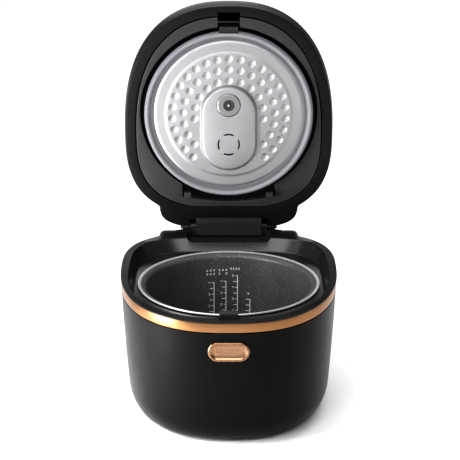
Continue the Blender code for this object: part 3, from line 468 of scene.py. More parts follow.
M = {
    "shell": surface("shell_satin", (0.0040, 0.0038, 0.0041), 0.35, grain=1500, specular=0.12),
    "lid_shell": surface("lid_shell_satin", (0.006, 0.006, 0.0063), 0.36, grain=1500, specular=0.28),
    "rim": surface("rim_satin", (0.0045, 0.0045, 0.0048), 0.32, grain=1300, bump=0.04, specular=0.15),
    "well": surface("well_gloss", (0.014, 0.014, 0.015), 0.24, grain=500, bump=0.003, rough_vary=0.01),
    "liner": surface("liner_satin", (0.034, 0.034, 0.0355), 0.36, grain=1300, bump=0.06, specular=0.28),
    "lid_rim": surface("lid_rim_satin", (0.007, 0.007, 0.0074), 0.38, grain=1300, specular=0.2),
    # painted shade: near-black colour for the lid liner's deep recess, standing in for the shade in that gap
    "dark": surface("recess_painted_shade", (0.003, 0.003, 0.0032), 0.30, grain=700, bump=0.03, specular=0.15),
    "arm": surface("arm_satin", (0.020, 0.020, 0.0212), 0.38, grain=1300, bump=0.06, specular=0.25),
    "copper": surface("copper_brushed", (0.285, 0.156, 0.077), 0.32, metallic=1.0, vary=0.10, grain=60,
                      stretch=(0.5, 0.5, 40), bump=0.10, rough_vary=0.07),
    "rose": surface("rose_gold_satin", (0.285, 0.172, 0.107), 0.27, metallic=1.0, vary=0.05, grain=1400,
                    bump=0.03),
    "plate": surface("plate_aluminium", (0.33, 0.33, 0.338), 0.47, metallic=0.85, vary=0.03, grain=1800,
                     rough_vary=0.05),
    "machined": surface("rim_machined", (0.55, 0.55, 0.56), 0.38, metallic=0.55, vary=0.06, grain=160,
                        stretch=(0.6, 0.6, 12), bump=0.06),
    "coat": surface("pot_nonstick", (0.066, 0.066, 0.068), 0.42, vary=0.25, grain=1100, bump=0.16,
                    depth=0.0003, specular=0.55),
    "pot_out": surface("pot_outside", (0.060, 0.058, 0.056), 0.40, vary=0.2, grain=1100, bump=0.10),
    "print": surface("scale_print", (0.62, 0.62, 0.62), 0.55, vary=0.08, grain=2500),
    "seal": surface("seal_silicone", (0.185, 0.185, 0.202), 0.50, vary=0.06, grain=1600),
    "seal_inner": surface("seal_groove", (0.11, 0.11, 0.12), 0.50, vary=0.06, grain=1600),
    "washer": surface("sensor_washer", (0.25, 0.25, 0.255), 0.40, metallic=0.8, vary=0.05, grain=1500),
    "rubber": surface("sensor_rubber", (0.022, 0.022, 0.024), 0.55, vary=0.2, grain=1600, bump=0.15),
    "steel": surface("steel_brushed", (0.55, 0.55, 0.56), 0.30, metallic=1.0, vary=0.08, grain=260,
                     stretch=(8, 1, 1), bump=0.08),
    "blacked": surface("steel_blacked", (0.03, 0.03, 0.032), 0.38, metallic=0.6, vary=0.2, bump=0.08),
    "inner": surface("grey_moulding", (0.15, 0.15, 0.16), 0.55, vary=0.1, grain=1100, bump=0.12),
    "base": surface("base_grained", (0.030, 0.030, 0.032), 0.55, vary=0.15, grain=1100, bump=0.2),
    "foot": surface("foot_rubber", (0.028, 0.028, 0.028), 0.8, vary=0.2, grain=1500, bump=0.25),
    "panel": surface("panel_gloss", (0.008, 0.008, 0.010), 0.08, vary=0.1, grain=300, bump=0.005,
                     rough_vary=0.02),
    "icon": surface("panel_marks", (0.50, 0.50, 0.52), 0.5, vary=0.05, grain=2500, bump=0.03),
    "board": surface("board_green", (0.03, 0.16, 0.07), 0.5, vary=0.2, grain=700, bump=0.1),
    "winding": surface("winding_enamel", (0.45, 0.18, 0.07), 0.35, metallic=0.8, vary=0.15, grain=500,
                       stretch=(1, 1, 6), bump=0.2),
    "ferrite": surface("ferrite_grey", (0.05, 0.05, 0.055), 0.7, vary=0.15, bump=0.15),
    "brass": surface("contact_brass", (0.66, 0.48, 0.20), 0.28, metallic=1.0, vary=0.08, grain=800,
                     bump=0.06),
    "inlet": surface("inlet_moulding", (0.022, 0.022, 0.023), 0.5, grain=1000, bump=0.15),
}
add_specks(M["coat"], (0.30, 0.30, 0.305), 430.0, 0.40)


def paint_where(obj, side, index, chosen):
    """Sets a material index on faces picked by their centre, in the cooker's own millimetres."""
    for polygon in obj.data.polygons:
        x, y, z = polygon.center
        if side == "lid":
            place = (x / MM, HINGE_Y - (z - HINGE.z) / MM, HINGE_Z + (y - HINGE.y) / MM)
        else:
            place = ((x - ORIGIN.x) / MM, (y - ORIGIN.y) / MM, (z - ORIGIN.z) / MM)
        if chosen(*place):
            polygon.material_index = index


def round_rings(rings, radii, wrap=True):
    """Rounds the corners of a cross-section loop, given as matching rings."""
    count = len(rings)
    out = []
    for i, here in enumerate(rings):
        radius = radii[i]
        if radius <= 0 or (not wrap and i in (0, count - 1)):
            out.append(here)
            continue
        before = rings[i - 1] - here
        after = rings[(i + 1) % count] - here
        long_before = np.linalg.norm(before, axis=1, keepdims=True)
        long_after = np.linalg.norm(after, axis=1, keepdims=True)
        start = here + before / long_before * np.minimum(radius, long_before * 0.48)
        end = here + after / long_after * np.minimum(radius, long_after * 0.48)
        out.extend(bend(start, here, end, 4))
    return out


def below(reach, above, drop):
    level = ring(reach, 0.0)
    level[:, 2] = above[:, 2] - drop
    return level


def disc(radius, low, high, axis, centre, count=48):
    return lathe([(0, low), (radius, low), (radius, high), (0, high)], count, axis, centre, closed=False)


def helix(radius, wire, low, high, turns, axis, centre):
    """Round wire wound evenly from low to high along an axis."""
    steps, sides = 28, 8
    rings = []
    for k in range(turns * steps + 1):
        angle = 2 * math.pi * k / steps
        t = low + (high - low) * k / (turns * steps)
        section = []
        for s in range(sides):
            around = 2 * math.pi * s / sides
            out = radius + wire * math.cos(around)
            a, b, c = out * math.cos(angle), out * math.sin(angle), t + wire * math.sin(around)
            spot = {"X": (c, a, b), "Y": (a, c, b), "Z": (a, b, c)}[axis]
            section.append(tuple(p + q for p, q in zip(spot, centre)))
        rings.append(section)
    return skin(rings)


# ---------------------------------------------------------------- body

CORNER_Z = -127.0
CORNER_HEIGHT = 32.0
CORNER_DEPTH = 20.0
SHELL_WALL = 2.3
SHELL_INSET = 0.5            # of the shell's face behind the rim's
BAND_GAP = 36.0              # degrees without a band, each side of the back
SEAM = 0.9                   # under the band


def screw_spots():
    thetas = np.radians((35.0, 145.0, 215.0, 325.0))
    return [tuple(p[:2]) for p in ring(body(37.0), 0.0, thetas)]


def button_outline(shrink, y):
    reach = BUTTON_HALF_WIDTH - BUTTON_HALF_HEIGHT
    outline = stadium(BUTTON_HALF_HEIGHT - shrink, -reach, reach, 36)
    return [(a, y, BUTTON_Z + b) for b, a in outline]


def make_shell():
    gap = np.radians([90 + side * (BAND_GAP + nudge) for side in (-1, 1) for nudge in (-0.05, 0.05)])
    thetas = np.sort(np.concatenate([UNIFORM, gap]))
    at_back = np.abs(np.degrees(thetas) - 90) < BAND_GAP
    rim = ring(body(0.0), 0.0, thetas)
    top = np.where(at_back, deck(rim[:, 1]) - RIM_EDGE, split(rim[:, 1]) - RIM_EDGE - BAND_HEIGHT - SEAM)
    outer = [ring(body(SHELL_INSET + SHELL_WALL), top, thetas), ring(body(SHELL_INSET + 0.45), top, thetas),
             ring(body(SHELL_INSET), top - 0.45, thetas)]
    inner = []
    for extra, levels, steps, rings in ((0.0, 14, 12, outer), (SHELL_WALL, 6, 6, inner)):
        for z in np.linspace(-22.0, CORNER_Z, levels):
            rings.append(ring(body(SHELL_INSET + extra + taper(z)), z, thetas))
        for k in range(1, steps + 1):
            angle = math.pi / 2 * k / steps
            z = CORNER_Z - (CORNER_HEIGHT - extra) * math.sin(angle)
            inset = SHELL_INSET + taper(z) + extra + (CORNER_DEPTH - extra) * (1 - math.cos(angle))
            rings.append(ring(body(inset), z, thetas))
    flange = [ring(body(42.0), BASE_Z, thetas), ring(body(42.0), BASE_Z + SHELL_WALL, thetas)]
    screws = joined([disc(2.0, -165, -150, "Z", (x, y, 0), 24) for x, y in screw_spots()])
    inlet = prism(rounded_rectangle(14.4, 11.4, 2.5, (0, INLET_Z)), 148, 175, "Y")
    button_hole = skin([button_outline(-0.4, y) for y in (-145, -128)])
    piece("shell", skin(outer + flange + inner[::-1], wrap=True), M["shell"], "body", ["outer_shell"],
          "satin_black", cuts=[box((-50.3, 146.5, -0.6), (50.3, 176, 34)), inlet, screws, button_hole])


def make_band():
    thetas = np.radians(np.linspace(90 + BAND_GAP, 450 - BAND_GAP, 260))
    top, bottom = RIM_EDGE + 0.1, RIM_EDGE + BAND_HEIGHT
    path = [(2.5, top), (0.75, top), (0.4, top + 0.25), (0.27, top + 0.9), (0.25, top + 5.7),
            (0.27, bottom - 0.9), (0.4, bottom - 0.25), (0.75, bottom), (2.5, bottom)]
    corners = [ring(body(inset), off(split, drop), thetas) for inset, drop in path]
    sections = [[tuple(c[k]) for c in corners] for k in range(len(thetas))]
    piece("band", skin(sections), M["copper"], "body", ["trim_band"], "copper")


SKIRT = 19.0                 # how far the rim reaches down inside the shell


def make_rim():
    outer = ring(body(0.0), deck)
    inner = ring(rim_inner(0.0), split)

    def between(share):
        place = outer * share + inner * (1 - share)
        place[:, 2] = deck(place[:, 1])
        return place
    skirt = ((0.0, RIM_EDGE - 0.3), (3.6, RIM_EDGE - 0.3), (4.2, SKIRT), (6.2, SKIRT), (5.8, 4.2))
    wall = ((110.4, LEDGE_Z - 2.4), (110.4, -13.8), (108.2, -13.8), (108.2, LEDGE_Z))
    rings = [outer, *(below(body(inset), outer, drop) for inset, drop in skirt),
             ring(rim_inner(2.6), off(split, 4.2)), ring(ledge(2.2), LEDGE_Z - 2.4),
             *(ring(circle(radius), z) for radius, z in wall), ring(ledge(0.0), LEDGE_Z), inner,
             *(between(share) for share in (0.12, 0.35, 0.6, 0.85))]
    radii = [1.0, 0.3, 0, 0, 0, 0, 0, 0, 0, 0, 0, 0.5, 1.6, 1.1, 0, 0, 0, 0]
    block = rounded([(113.5, -4.3), (153.5, -4.3), (153.5, 8.5), (148.0, 12.0), (122.0, 12.0),
                     (117.0, -3.5)], [0, 0, 0, 0, 1.5, 0], 4, True)
    adds = [prism(block, -57, 57, "X"), box((-49.6, 150, -4.2), (49.6, 160.8, 2.8))]
    for near, far in ((-15.2, -12.7), (12.7, 15.2)):
        adds.append(box((near, -127, -22), (far, -117.5, -3.4)))
    adds.append(box((-18.5, -114.8, -42.0), (18.5, -113.2, -4.5)))
    for side in (-1, 1):  # low saddles under the lid's lobe
        adds.append(skin([[(side * x, y, z) for y, z in
                           ((143.6, 12.0), (143.6, 15.5 + rise * 0.2), (147.0, 15.7 + rise * 0.5),
                            (151.6, 14.7 + rise * 1.5), (152.0, 14.2 + rise * 1.2), (152.0, 12.0))]
                          for x, rise in ((50.0, 1.0), (56.0, 1.0), (61.0, 0.75), (66.0, 0.3), (70.0, 0.0))]))
    notch = rounded([(-49, 8.6), (49, 8.6), (55, 14.5), (55, 40), (-55, 40), (-55, 14.5)],
                    [3, 3, 3, 0, 0, 3], 5, True)
    cuts = [prism(notch, 110, 145, "Y"), box((-50, 142, 0), (50, 180, 41)),
            box((-12.2, -131, -30), (12.2, -114.9, 12)), disc(1.8, -20, 20, "X", HOOK_PIVOT)]
    obj = piece("rim", skin(round_rings(rings, radii), wrap=True), [M["rim"], M["well"]], "body",
                ["upper_frame"], "gloss_black", adds=adds, cuts=cuts, bevel=0.35)
    paint_where(obj, "body", 1, lambda x, y, z: z < split(y) - 0.7 or y > 108)


POT_RADIUS = 103.0           # outside of the pot's wall
POT_WALL = 2.0
POT_CORNER = 24.0            # outside radius between wall and floor
POT_FLOOR = -127.4           # underside of the pot's floor
WALL_RADIUS = POT_RADIUS - POT_WALL


def make_pot():
    outer = [(111.1, -0.5), (111.1, -1.8), (110.4, -2.2), (108.0, -2.5), (107.2, -4.0), (103.6, -6.6),
             (POT_RADIUS, -8.6)]
    inner = [(WALL_RADIUS, -7.2), (101.15, -5.2), (102.2, -3.3), (104.6, -2.1), (107.4, -1.0), (109.7, -0.15),
             (110.3, 0.0), (110.8, -0.1)]
    corner = (POT_RADIUS - POT_CORNER, POT_FLOOR + POT_CORNER)
    outside_corner = arc(corner, POT_CORNER, 0, -90, 16)
    inside_corner = arc(corner, POT_CORNER - POT_WALL, -90, 90, 16)
    top_of_floor = POT_FLOOR + POT_WALL
    path = [(0.4, top_of_floor), (40, top_of_floor)] + inside_corner + [(WALL_RADIUS, -60.0)] + inner
    path += outer + outside_corner + [(40, POT_FLOOR), (0.4, POT_FLOOR)]
    shape = skin([ring(circle(radius), z) for radius, z in path])
    obj = piece("pot", shape, [M["coat"], M["machined"], M["pot_out"]], "pot", ["inner_pot"], "pot_coating",
                sharp=40)
    paint_where(obj, "body", 2, lambda x, y, z: math.hypot(x, y) > 101.9 and z < -3.6 or z < -126.4)
    paint_where(obj, "body", 1, lambda x, y, z: math.hypot(x, y) > 108.0 and z > -2.3)


DIGIT_BARS = {1: "bc", 2: "abged", 3: "abgcd", 4: "fgbc", 5: "afgcd"}


def wall_patch(x, z, half_x, half_z):
    """Thin raised print on the pot's wall, facing the front."""
    rings = []
    for radius in (WALL_RADIUS + 0.12, WALL_RADIUS - 0.10):
        level = []
        for sx, sz in ((-1, -1), (1, -1), (1, 1), (-1, 1)):
            across = x + sx * half_x
            level.append((across, math.sqrt(radius ** 2 - across ** 2), z + sz * half_z))
        rings.append(level)
    return skin(rings)


def digit(number, x, z, size):
    """Plain seven-bar figure."""
    wide, high, line = size * 0.28, size * 0.5, 0.26
    bars = {"a": (0, high, wide, line), "g": (0, 0, wide, line), "d": (0, -high, wide, line),
            "b": (wide, high / 2, line, high / 2), "c": (wide, -high / 2, line, high / 2),
            "f": (-wide, high / 2, line, high / 2), "e": (-wide, -high / 2, line, high / 2)}
    chosen = [bars[name] for name in DIGIT_BARS[number]]
    return [wall_patch(x + dx, z + dz, half_x, half_z) for dx, dz, half_x, half_z in chosen]


def make_scales():
    """Level scales on the pot's rear wall, three of them numbered, with generic strokes above."""
    shapes = []
    pitch, bottom = 8.0, -94.0
    for x, top, numbers in ((-19.0, -38.8, 4), (-3.6, -37.6, 4), (11.4, -30.0, 5), (27.5, -61.6, 0)):
        shapes.append(wall_patch(x, (top + bottom) / 2, 0.50, (top - bottom) / 2))
        for k in range(8):
            z = top - 0.5 - pitch * k
            if z < bottom:
                break
            short = k % 2 == 0 and numbers > 0
            reach = 1.6 if short else 2.8
            shapes.append(wall_patch(x - reach, z, reach, 0.42))
            if short and numbers > k // 2:
                shapes += digit(numbers - k // 2, x - 6.0, z, 2.7)
    for x, top, rows in ((-23.2, -22.6, (3, 3)), (-7.4, -22.6, (3, 2)), (8.0, -20.9, (4,)),
                         (25.4, -54.2, (1,))):
        for row, marks in enumerate(rows):
            z = top - 5.0 * row
            for k in range(marks):
                place = x + (k - (marks - 1) / 2) * {4: 3.4, 2: 9.0}.get(marks, 4.4)
                for rise, half_x, half_z in ((0.9, 1.15, 0.3), (-0.9, 1.15, 0.3), (0.0, 0.35, 1.2)):
                    shapes.append(wall_patch(place, z + rise, half_x, half_z))
    piece("pot_scales", joined(shapes), M["print"], "pot")


def make_well():
    """Cup that the pot hangs in, open at the bottom for the temperature sensor."""
    profile = rounded([(105.4, -14.3), (112.0, -14.3), (112.0, -16.0), (107.2, -16.0), (107.2, -112.0),
                       (104.2, -123.0), (96.0, -129.3), (86.0, -131.2), (24.0, -131.2), (24.0, -129.5),
                       (86.0, -129.5), (95.0, -127.6), (102.6, -122.0), (105.4, -111.6)],
                      [0.5, 0.3, 0.3, 0.8, 4, 4, 4, 3, 0.5, 0.5, 3, 4, 4, 4], 4, True)
    piece("well_cup", lathe(profile, 192), M["inner"], "body", ["pot_well"], "inner_plastic")


def make_button():
    steps = ((9.0, -137.9), (5.5, -137.93), (5.0, -138.1), (3.4, -139.0), (2.9, -139.35), (2.4, -139.55),
             (1.9, -139.6), (1.2, -139.45), (0.6, -139.1), (0.2, -138.6), (0.0, -138.0), (0.0, -133.0),
             (-1.6, -133.0), (-1.6, -131.4), (3.0, -131.4))
    stem = box((-4.0, -132.2, BUTTON_Z - 3), (4.0, -125.4, BUTTON_Z + 1))
    piece("button", skin([button_outline(shrink, y) for shrink, y in steps]), M["rose"], "button",
          ["release_button"], "rose_gold", adds=[stem], sharp=50)


def make_latch():
    outline = rounded([(-125.0, -12.0), (-125.0, 5.8), (-124.0, 7.0), (-117.0, 7.0), (-115.5, 5.2),
                       (-117.4, 4.3), (-121.6, 4.3), (-121.6, -8.0), (-119.4, -12.0), (-118.8, -24.0),
                       (-121.2, -40.0), (-124.0, -40.0), (-126.0, -24.0)], 0.5, 3, True)
    piece("hook_part", prism(outline, -10.8, 10.8, "X"), M["arm"], "hook", ["latch_hook"], "dark_grey",
          cuts=[disc(1.8, -20, 20, "X", HOOK_PIVOT)], bevel=0.3)
    piece("hook_spring", helix(3.0, 0.45, -119.0, -115.4, 3, "Y", (0, 0, -34)), M["steel"], "body",
          ["latch_spring"], "steel")
    piece("push_spring", helix(3.0, 0.45, -130.8, -115.4, 5, "Y", (14.5, 0, BUTTON_Z)), M["steel"], "body",
          ["button_spring"], "steel")


EAR_INSIDE = 42.75
EAR_OUTSIDE = 49.9
EAR_HALF_DEPTH = 6.5


def make_hinge():
    outline = [(-44.0, 3.5), (-14.5, 3.5), (-14.5, -7.0), (-10.0, -11.5), (7.5, -11.5)]
    outline += arc((0, 0), 13.7, -42, 132, 22) + [(-6.0, 11.5), (-14.5, 7.4), (-44.0, 7.0)]
    outline = [(HINGE_Y + a, HINGE_Z + b) for a, b in outline]
    centre = (0, HINGE_Y, HINGE_Z)
    bore = disc(2.8, -60, 60, "X", centre)
    spring_room = [disc(7.0, -13, 13, "X", centre),
                   box((-12.8, HINGE_Y - 6.5, HINGE_Z), (12.8, HINGE_Y, HINGE_Z + 20))]
    piece("arm", prism(outline, -42.6, 42.6, "X"), M["arm"], "lid", ["hinge_arm"], "dark_grey",
          cuts=[bore] + spring_room, bevel=0.8, steps=3)
    piece("arm_spring", helix(4.7, 0.7, -11.5, 11.5, 7, "X", centre), M["steel"], "lid", ["hinge_spring"],
          "steel")
    pin = rounded([(0, -49.0), (2.5, -49.0), (2.5, 49.0), (0, 49.0)], [0, 0.4, 0.4, 0], 3)
    front, back = HINGE_Y - EAR_HALF_DEPTH, HINGE_Y + EAR_HALF_DEPTH
    ears = []
    for near, far in ((-EAR_OUTSIDE, -EAR_INSIDE), (EAR_INSIDE, EAR_OUTSIDE)):
        outline = rounded([(front, 0.4), (back, 0.4), (back, HINGE_Z + 6.5), (front, HINGE_Z + 6.5)],
                          [0, 0, 4.5, 4.5], 8, True)
        ears.append(prism(outline, near, far, "X"))
    floor = box((-44, front, 0.4), (44, back, 2.3))
    piece("ears", joined(ears), M["blacked"], "body", ["hinge_bracket"], "black_steel", adds=[floor],
          cuts=[bore], bevel=0.35)
    piece("hinge_rod", lathe(pin, 64, "X", centre, closed=False), M["blacked"], "body", ["hinge_pin"],
          "black_steel")


def make_knuckles():
    """Round bosses about the hinge line that carry the lid's lobe down to the deck, clear at any angle."""
    profile = [(0, 50.1), (3.9, 50.1), (4.15, 50.4), (4.12, 53.0), (3.75, 56.0), (2.9, 60.0), (1.8, 63.0),
               (0, 63.5)]
    ends = [[(radius, side * t) for radius, t in profile] for side in (-1, 1)]
    shapes = [lathe(end, 64, "X", (0, HINGE_Y, HINGE_Z), closed=False) for end in ends]
    piece("hinge_knuckles", joined(shapes), M["lid_rim"], "lid")


def make_underside():
    foot_profile = rounded([(0, -161.5), (7.6, -161.5), (9.0, -160.3), (9.0, BASE_Z - 0.3),
                            (3.0, BASE_Z - 0.3), (3.0, BASE_Z + 2.0), (0, BASE_Z + 2.0)],
                           [0, 0.6, 0.6, 0.3, 0, 0, 0], 3)
    spots = (("foot_front_left", -60, -62), ("foot_front_right", 60, -62),
             ("foot_rear_left", -58, 84), ("foot_rear_right", 58, 84))
    for name, x, y in spots:
        piece("soft_" + name, lathe(foot_profile, 64, "Z", (x, y, 0), closed=False), M["foot"], "body",
              [name], "rubber")
    head = rounded([(0, BASE_Z - 1.4), (1.0, BASE_Z - 1.5), (2.4, BASE_Z - 1.8), (3.2, BASE_Z - 1.1),
                    (3.2, BASE_Z - 0.3), (1.6, BASE_Z - 0.3), (1.6, BASE_Z + 10.5), (0, BASE_Z + 11.0)],
                   [0, 0, 0.5, 0.2, 0, 0, 0.3, 0], 3)
    names = ("base_screw_rear_right", "base_screw_rear_left", "base_screw_front_left",
             "base_screw_front_right")
    for name, (x, y) in zip(names, screw_spots()):
        cross = [box((x - a, y - b, BASE_Z - 3), (x + a, y + b, BASE_Z - 0.9)) for a, b in
                 ((1.9, 0.35), (0.35, 1.9))]
        piece("turned_" + name, lathe(head, 40, "Z", (x, y, 0), closed=False), M["steel"], "body", [name],
              "steel", cuts=cross)


def make_inlet():
    outline = rounded_rectangle(14.0, 11.0, 2.2, (0, INLET_Z))
    flange = rounded_rectangle(17.0, 14.0, 3.0, (0, INLET_Z))
    small = rounded_rectangle(16.4, 13.4, 2.6, (0, INLET_Z))
    leaning = [[(x, y + 0.0714 * (z - INLET_Z), z) for x, z in loop]
               for loop, y in ((flange, 161.0), (flange, 162.6), (small, 163.2))]
    holes = joined([box((x - 1.3, 135, INLET_Z + dz - 2.3), (x + 1.3, 146, INLET_Z + dz + 2.3))
                    for x, dz in ((-6.0, 2.4), (0.0, -2.0), (6.0, 2.4))])
    socket = prism(rounded_rectangle(11.2, 8.2, 1.5, (0, INLET_Z)), 144, 170, "Y")
    piece("inlet_part", prism(outline, 140, 159.4, "Y"), M["inlet"], "body", ["inlet_housing"], "ferrite",
          adds=[skin(leaning), prism(outline, 159, 162.6, "Y")], cuts=[socket, holes], bevel=0.25)


# ---------------------------------------------------------------- lid

LID_CENTRE_Y = 15.0
LID_TOP = 65.0
LID_DOME = 3.0
SHOULDER = 0.7
SHOULDER_Z = 62.0


def dome_rings(pull, drop, shares, steps):
    edge = ring(lid(-2.0), 0.0)
    away = edge[:, :2] - np.array((0, LID_CENTRE_Y))
    distance = np.linalg.norm(away, axis=1, keepdims=True)

    def level(share, height, down, inward):
        flat = away * ((share * distance - inward) / distance)
        z = np.broadcast_to(height - down, (len(edge),))
        return np.column_stack([flat[:, 0], LID_CENTRE_Y + flat[:, 1], z])
    rings = [level(share, LID_TOP - LID_DOME * (share / SHOULDER) ** 2, drop, 0.0) for share in shares]
    for k in range(steps - 1, -1, -1):
        angle = math.pi / 2 * k / steps
        share = 1 - (1 - SHOULDER) * (1 - math.cos(angle))
        start = split(edge[:, 1]) + 24
        height = start + (SHOULDER_Z - start) * math.sin(angle)
        rings.append(level(share, height, drop * math.sin(angle), pull * math.cos(angle)))
    for inset, rise in ((-1.85, 18.5), (-1.4, 13.0), (-0.6, 8.6), (0.4, 4.1)):
        rings.append(ring(lid(inset + pull), off(split, -rise)))
    return rings


def dome_height(x, y):
    """Height of the lid's top at a place near its middle."""
    edge = ring(lid(-2.0), 0.0)
    angles = np.arctan2(edge[:, 1] - LID_CENTRE_Y, edge[:, 0])
    order = np.argsort(angles)
    far = np.hypot(edge[:, 0], edge[:, 1] - LID_CENTRE_Y)
    reach = np.interp(math.atan2(y - LID_CENTRE_Y, x), angles[order], far[order], period=2 * math.pi)
    return LID_TOP - LID_DOME * (math.hypot(x, y - LID_CENTRE_Y) / reach / SHOULDER) ** 2


PANEL_MIDDLE = -61.0
PANEL_HALF = 30.0


def make_lid_cover():
    outside = dome_rings(0.0, 0.0, (0.03, 0.15, 0.28, 0.41, 0.52, 0.61, SHOULDER), 16)
    inside = dome_rings(2.5, 2.5, (0.03, 0.4, SHOULDER), 8)
    window = rounded_rectangle(44.4, PANEL_HALF + 0.4, 8.4, (0, PANEL_MIDDLE), 10)
    cuts = [box((-50.9, 140, 0), (50.9, 180, 33)), disc(24.4, 45, 80, "Z", (0, STEAM_Y, 0), 96),
            prism(window, 45, 80, "Z")]
    piece("dome", skin(outside + inside[::-1]), M["lid_shell"], "lid", ["lid_cover"], "satin_black",
          cuts=cuts, sharp=40)


def make_lid_rim():
    rings = [ring(lid(0.3), off(split, -LID_GAP)), ring(lid(0.3), off(split, -3.8)),
             ring(liner(0.75), off(split, -3.8)), ring(liner(0.75), off(split, -LID_GAP))]
    cuts = [box((-43.2, 141.1, 0), (43.2, 175, 40)), box((-50.9, 145.8, 0), (50.9, 175.5, 41)),
            box((-13.9, -131, -10), (13.9, -100, 30))]
    piece("lid_band", skin(round_rings(rings, [1.3, 0, 0, 0.8]), wrap=True), M["lid_rim"], "lid",
          ["lid_rim"], "dark_grey", cuts=cuts)


def make_liner():
    corners = [math.atan2(113, side * 60) for side in (1, -1)]
    thetas = np.sort(np.concatenate([UNIFORM, corners]))
    levels = ((circle(10), 20.0), (recess(2.4), 20.0), (recess(2.4), off(split, -4.2)),
              (liner(-0.35), off(split, -4.2)), (liner(-0.35), off(split, -0.35)),
              (recess(0.0), off(split, -0.35)), (recess(0.0), 17.8), (circle(10), 17.8))
    rings = [ring(reach, height, thetas) for reach, height in levels]
    cuts = [box((-13.9, -123.8, -10), (13.9, -104, 16)), box((-13.8, -131, -10), (13.8, -123, 30)),
            disc(9.9, 10, 30, "Z", (0, STEAM_Y, 0))]
    obj = piece("liner_pan", skin(round_rings(rings, [0, 0, 0, 0, 0.9, 1.3, 2.0, 0], wrap=False)),
                [M["liner"], M["dark"]], "lid", ["lid_liner"], "dark_grey", cuts=cuts)
    # painted shade: the liner's faces deep in the recess take the near-black material in place of shade
    paint_where(obj, "lid", 1, lambda x, y, z: z > split(y) + 2.4)


def make_lid_fittings():
    catch = rounded([(-13.5, 15.6), (-13.5, 1.2), (13.5, 1.2), (13.5, 15.6), (11.6, 15.6), (11.6, 3.4),
                     (-11.6, 3.4), (-11.6, 15.6)], [0, 1.2, 1.2, 0, 0, 0.6, 0.6, 0], 4, True)
    piece("catch_bar", prism(catch, -120.3, -118.4, "Y"), M["arm"], "lid", ["lid_catch"], "black_steel",
          bevel=0.3)
    for name, low in (("inner_lid_lug_left", -57.5), ("inner_lid_lug_right", 48.5)):
        piece("eased_" + name, box((low, 104.8, 5.0), (low + 9.0, 112.4, 17.5)), M["liner"], "lid", [name],
              "dark_grey", bevel=0.8, steps=3)
    heater = rounded([(0, 9.6), (88, 9.6), (88, 14.0), (86.5, 14.0), (86.5, 11.2), (0, 11.2)],
                     [0, 0.9, 0.4, 0.4, 0.6, 0], 4)
    cuts = [disc(radius, 0, 20, "Z", (0, y, 0), 96) for radius, y in ((19, STEAM_Y), (16.5, SENSOR_Y))]
    piece("heater_plate", lathe(heater, 160, closed=False), M["plate"], "lid", ["lid_heater"], "aluminium",
          cuts=cuts)
    clip = rounded([(-113.0, 0.6), (-105.8, 0.6), (-105.8, 3.0), (-110.4, 3.4), (-110.4, 15.5),
                    (-113.0, 15.5)], 0.4, 3, True)
    grooves = [box((-9.6, -112.2 + 1.5 * k, 0.2), (9.6, -111.5 + 1.5 * k, 1.1)) for k in range(4)]
    piece("ribbed_clip", prism(clip, -11.7, 11.7, "X"), M["liner"], "lid_clip", ["inner_lid_clip"],
          "satin_black", cuts=[joined(grooves)], bevel=0.2)


PAD_RADIUS = 32.35
DIMPLE_ROWS = ((72.3, 11.7, 12), (58.5, 14.57, 9), (44.0, 19.4, 5))
DIMPLE_RADIUS = 5.0


def plate_profile(radius):
    step = np.clip((radius - 78.4) / 4.4, 0, 1)
    edge = np.clip((radius - 92.0) / 4.4, 0, 1)
    return 0.6 + 0.8 * step * step * (3 - 2 * step) + 1.0 * edge * edge * (3 - 2 * edge)


def make_plate():
    """Pressed plate: rows of hollows round all but the back, a raised circle and a stepped edge."""
    across = 640
    radii = np.concatenate([np.linspace(2, 36, 18), np.linspace(37, 80, 88), np.linspace(80.3, 99.4, 44)])
    thetas = np.arange(across) * 2 * math.pi / across
    x = radii[:, None] * np.cos(thetas)
    y = radii[:, None] * np.sin(thetas)
    z = np.broadcast_to(plate_profile(radii)[:, None], x.shape).copy()
    for row, pitch, reach in DIMPLE_ROWS:
        for k in range(-reach, reach + 1):
            angle = math.radians(-90 + pitch * k)
            apart = np.hypot(x - row * math.cos(angle), y - row * math.sin(angle)) / DIMPLE_RADIUS
            z += np.where(apart < 1, 1.25 * (1 - np.minimum(apart, 1) ** 2) ** 1.15, 0)
    front = [np.column_stack([x[k], y[k], z[k]]) for k in range(len(radii))]
    back = []
    for radius in (99.4, 94.0, 80.0, 2.0):
        level = np.interp(radius, (0, 80, 94, 99.4), (2.6, 3.0, 4.2, 4.2))
        back.append(np.column_stack([radius * np.cos(thetas), radius * np.sin(thetas),
                                     np.full(across, level)]))
    hollow = prism(stadium(PAD_RADIUS + 1.2, *PAD_Y, 48), -9, 9, "Z")
    piece("dimpled_plate", skin(front + back), M["plate"], "inner_lid_set", ["inner_lid"], "aluminium",
          cuts=[hollow], sharp=48)


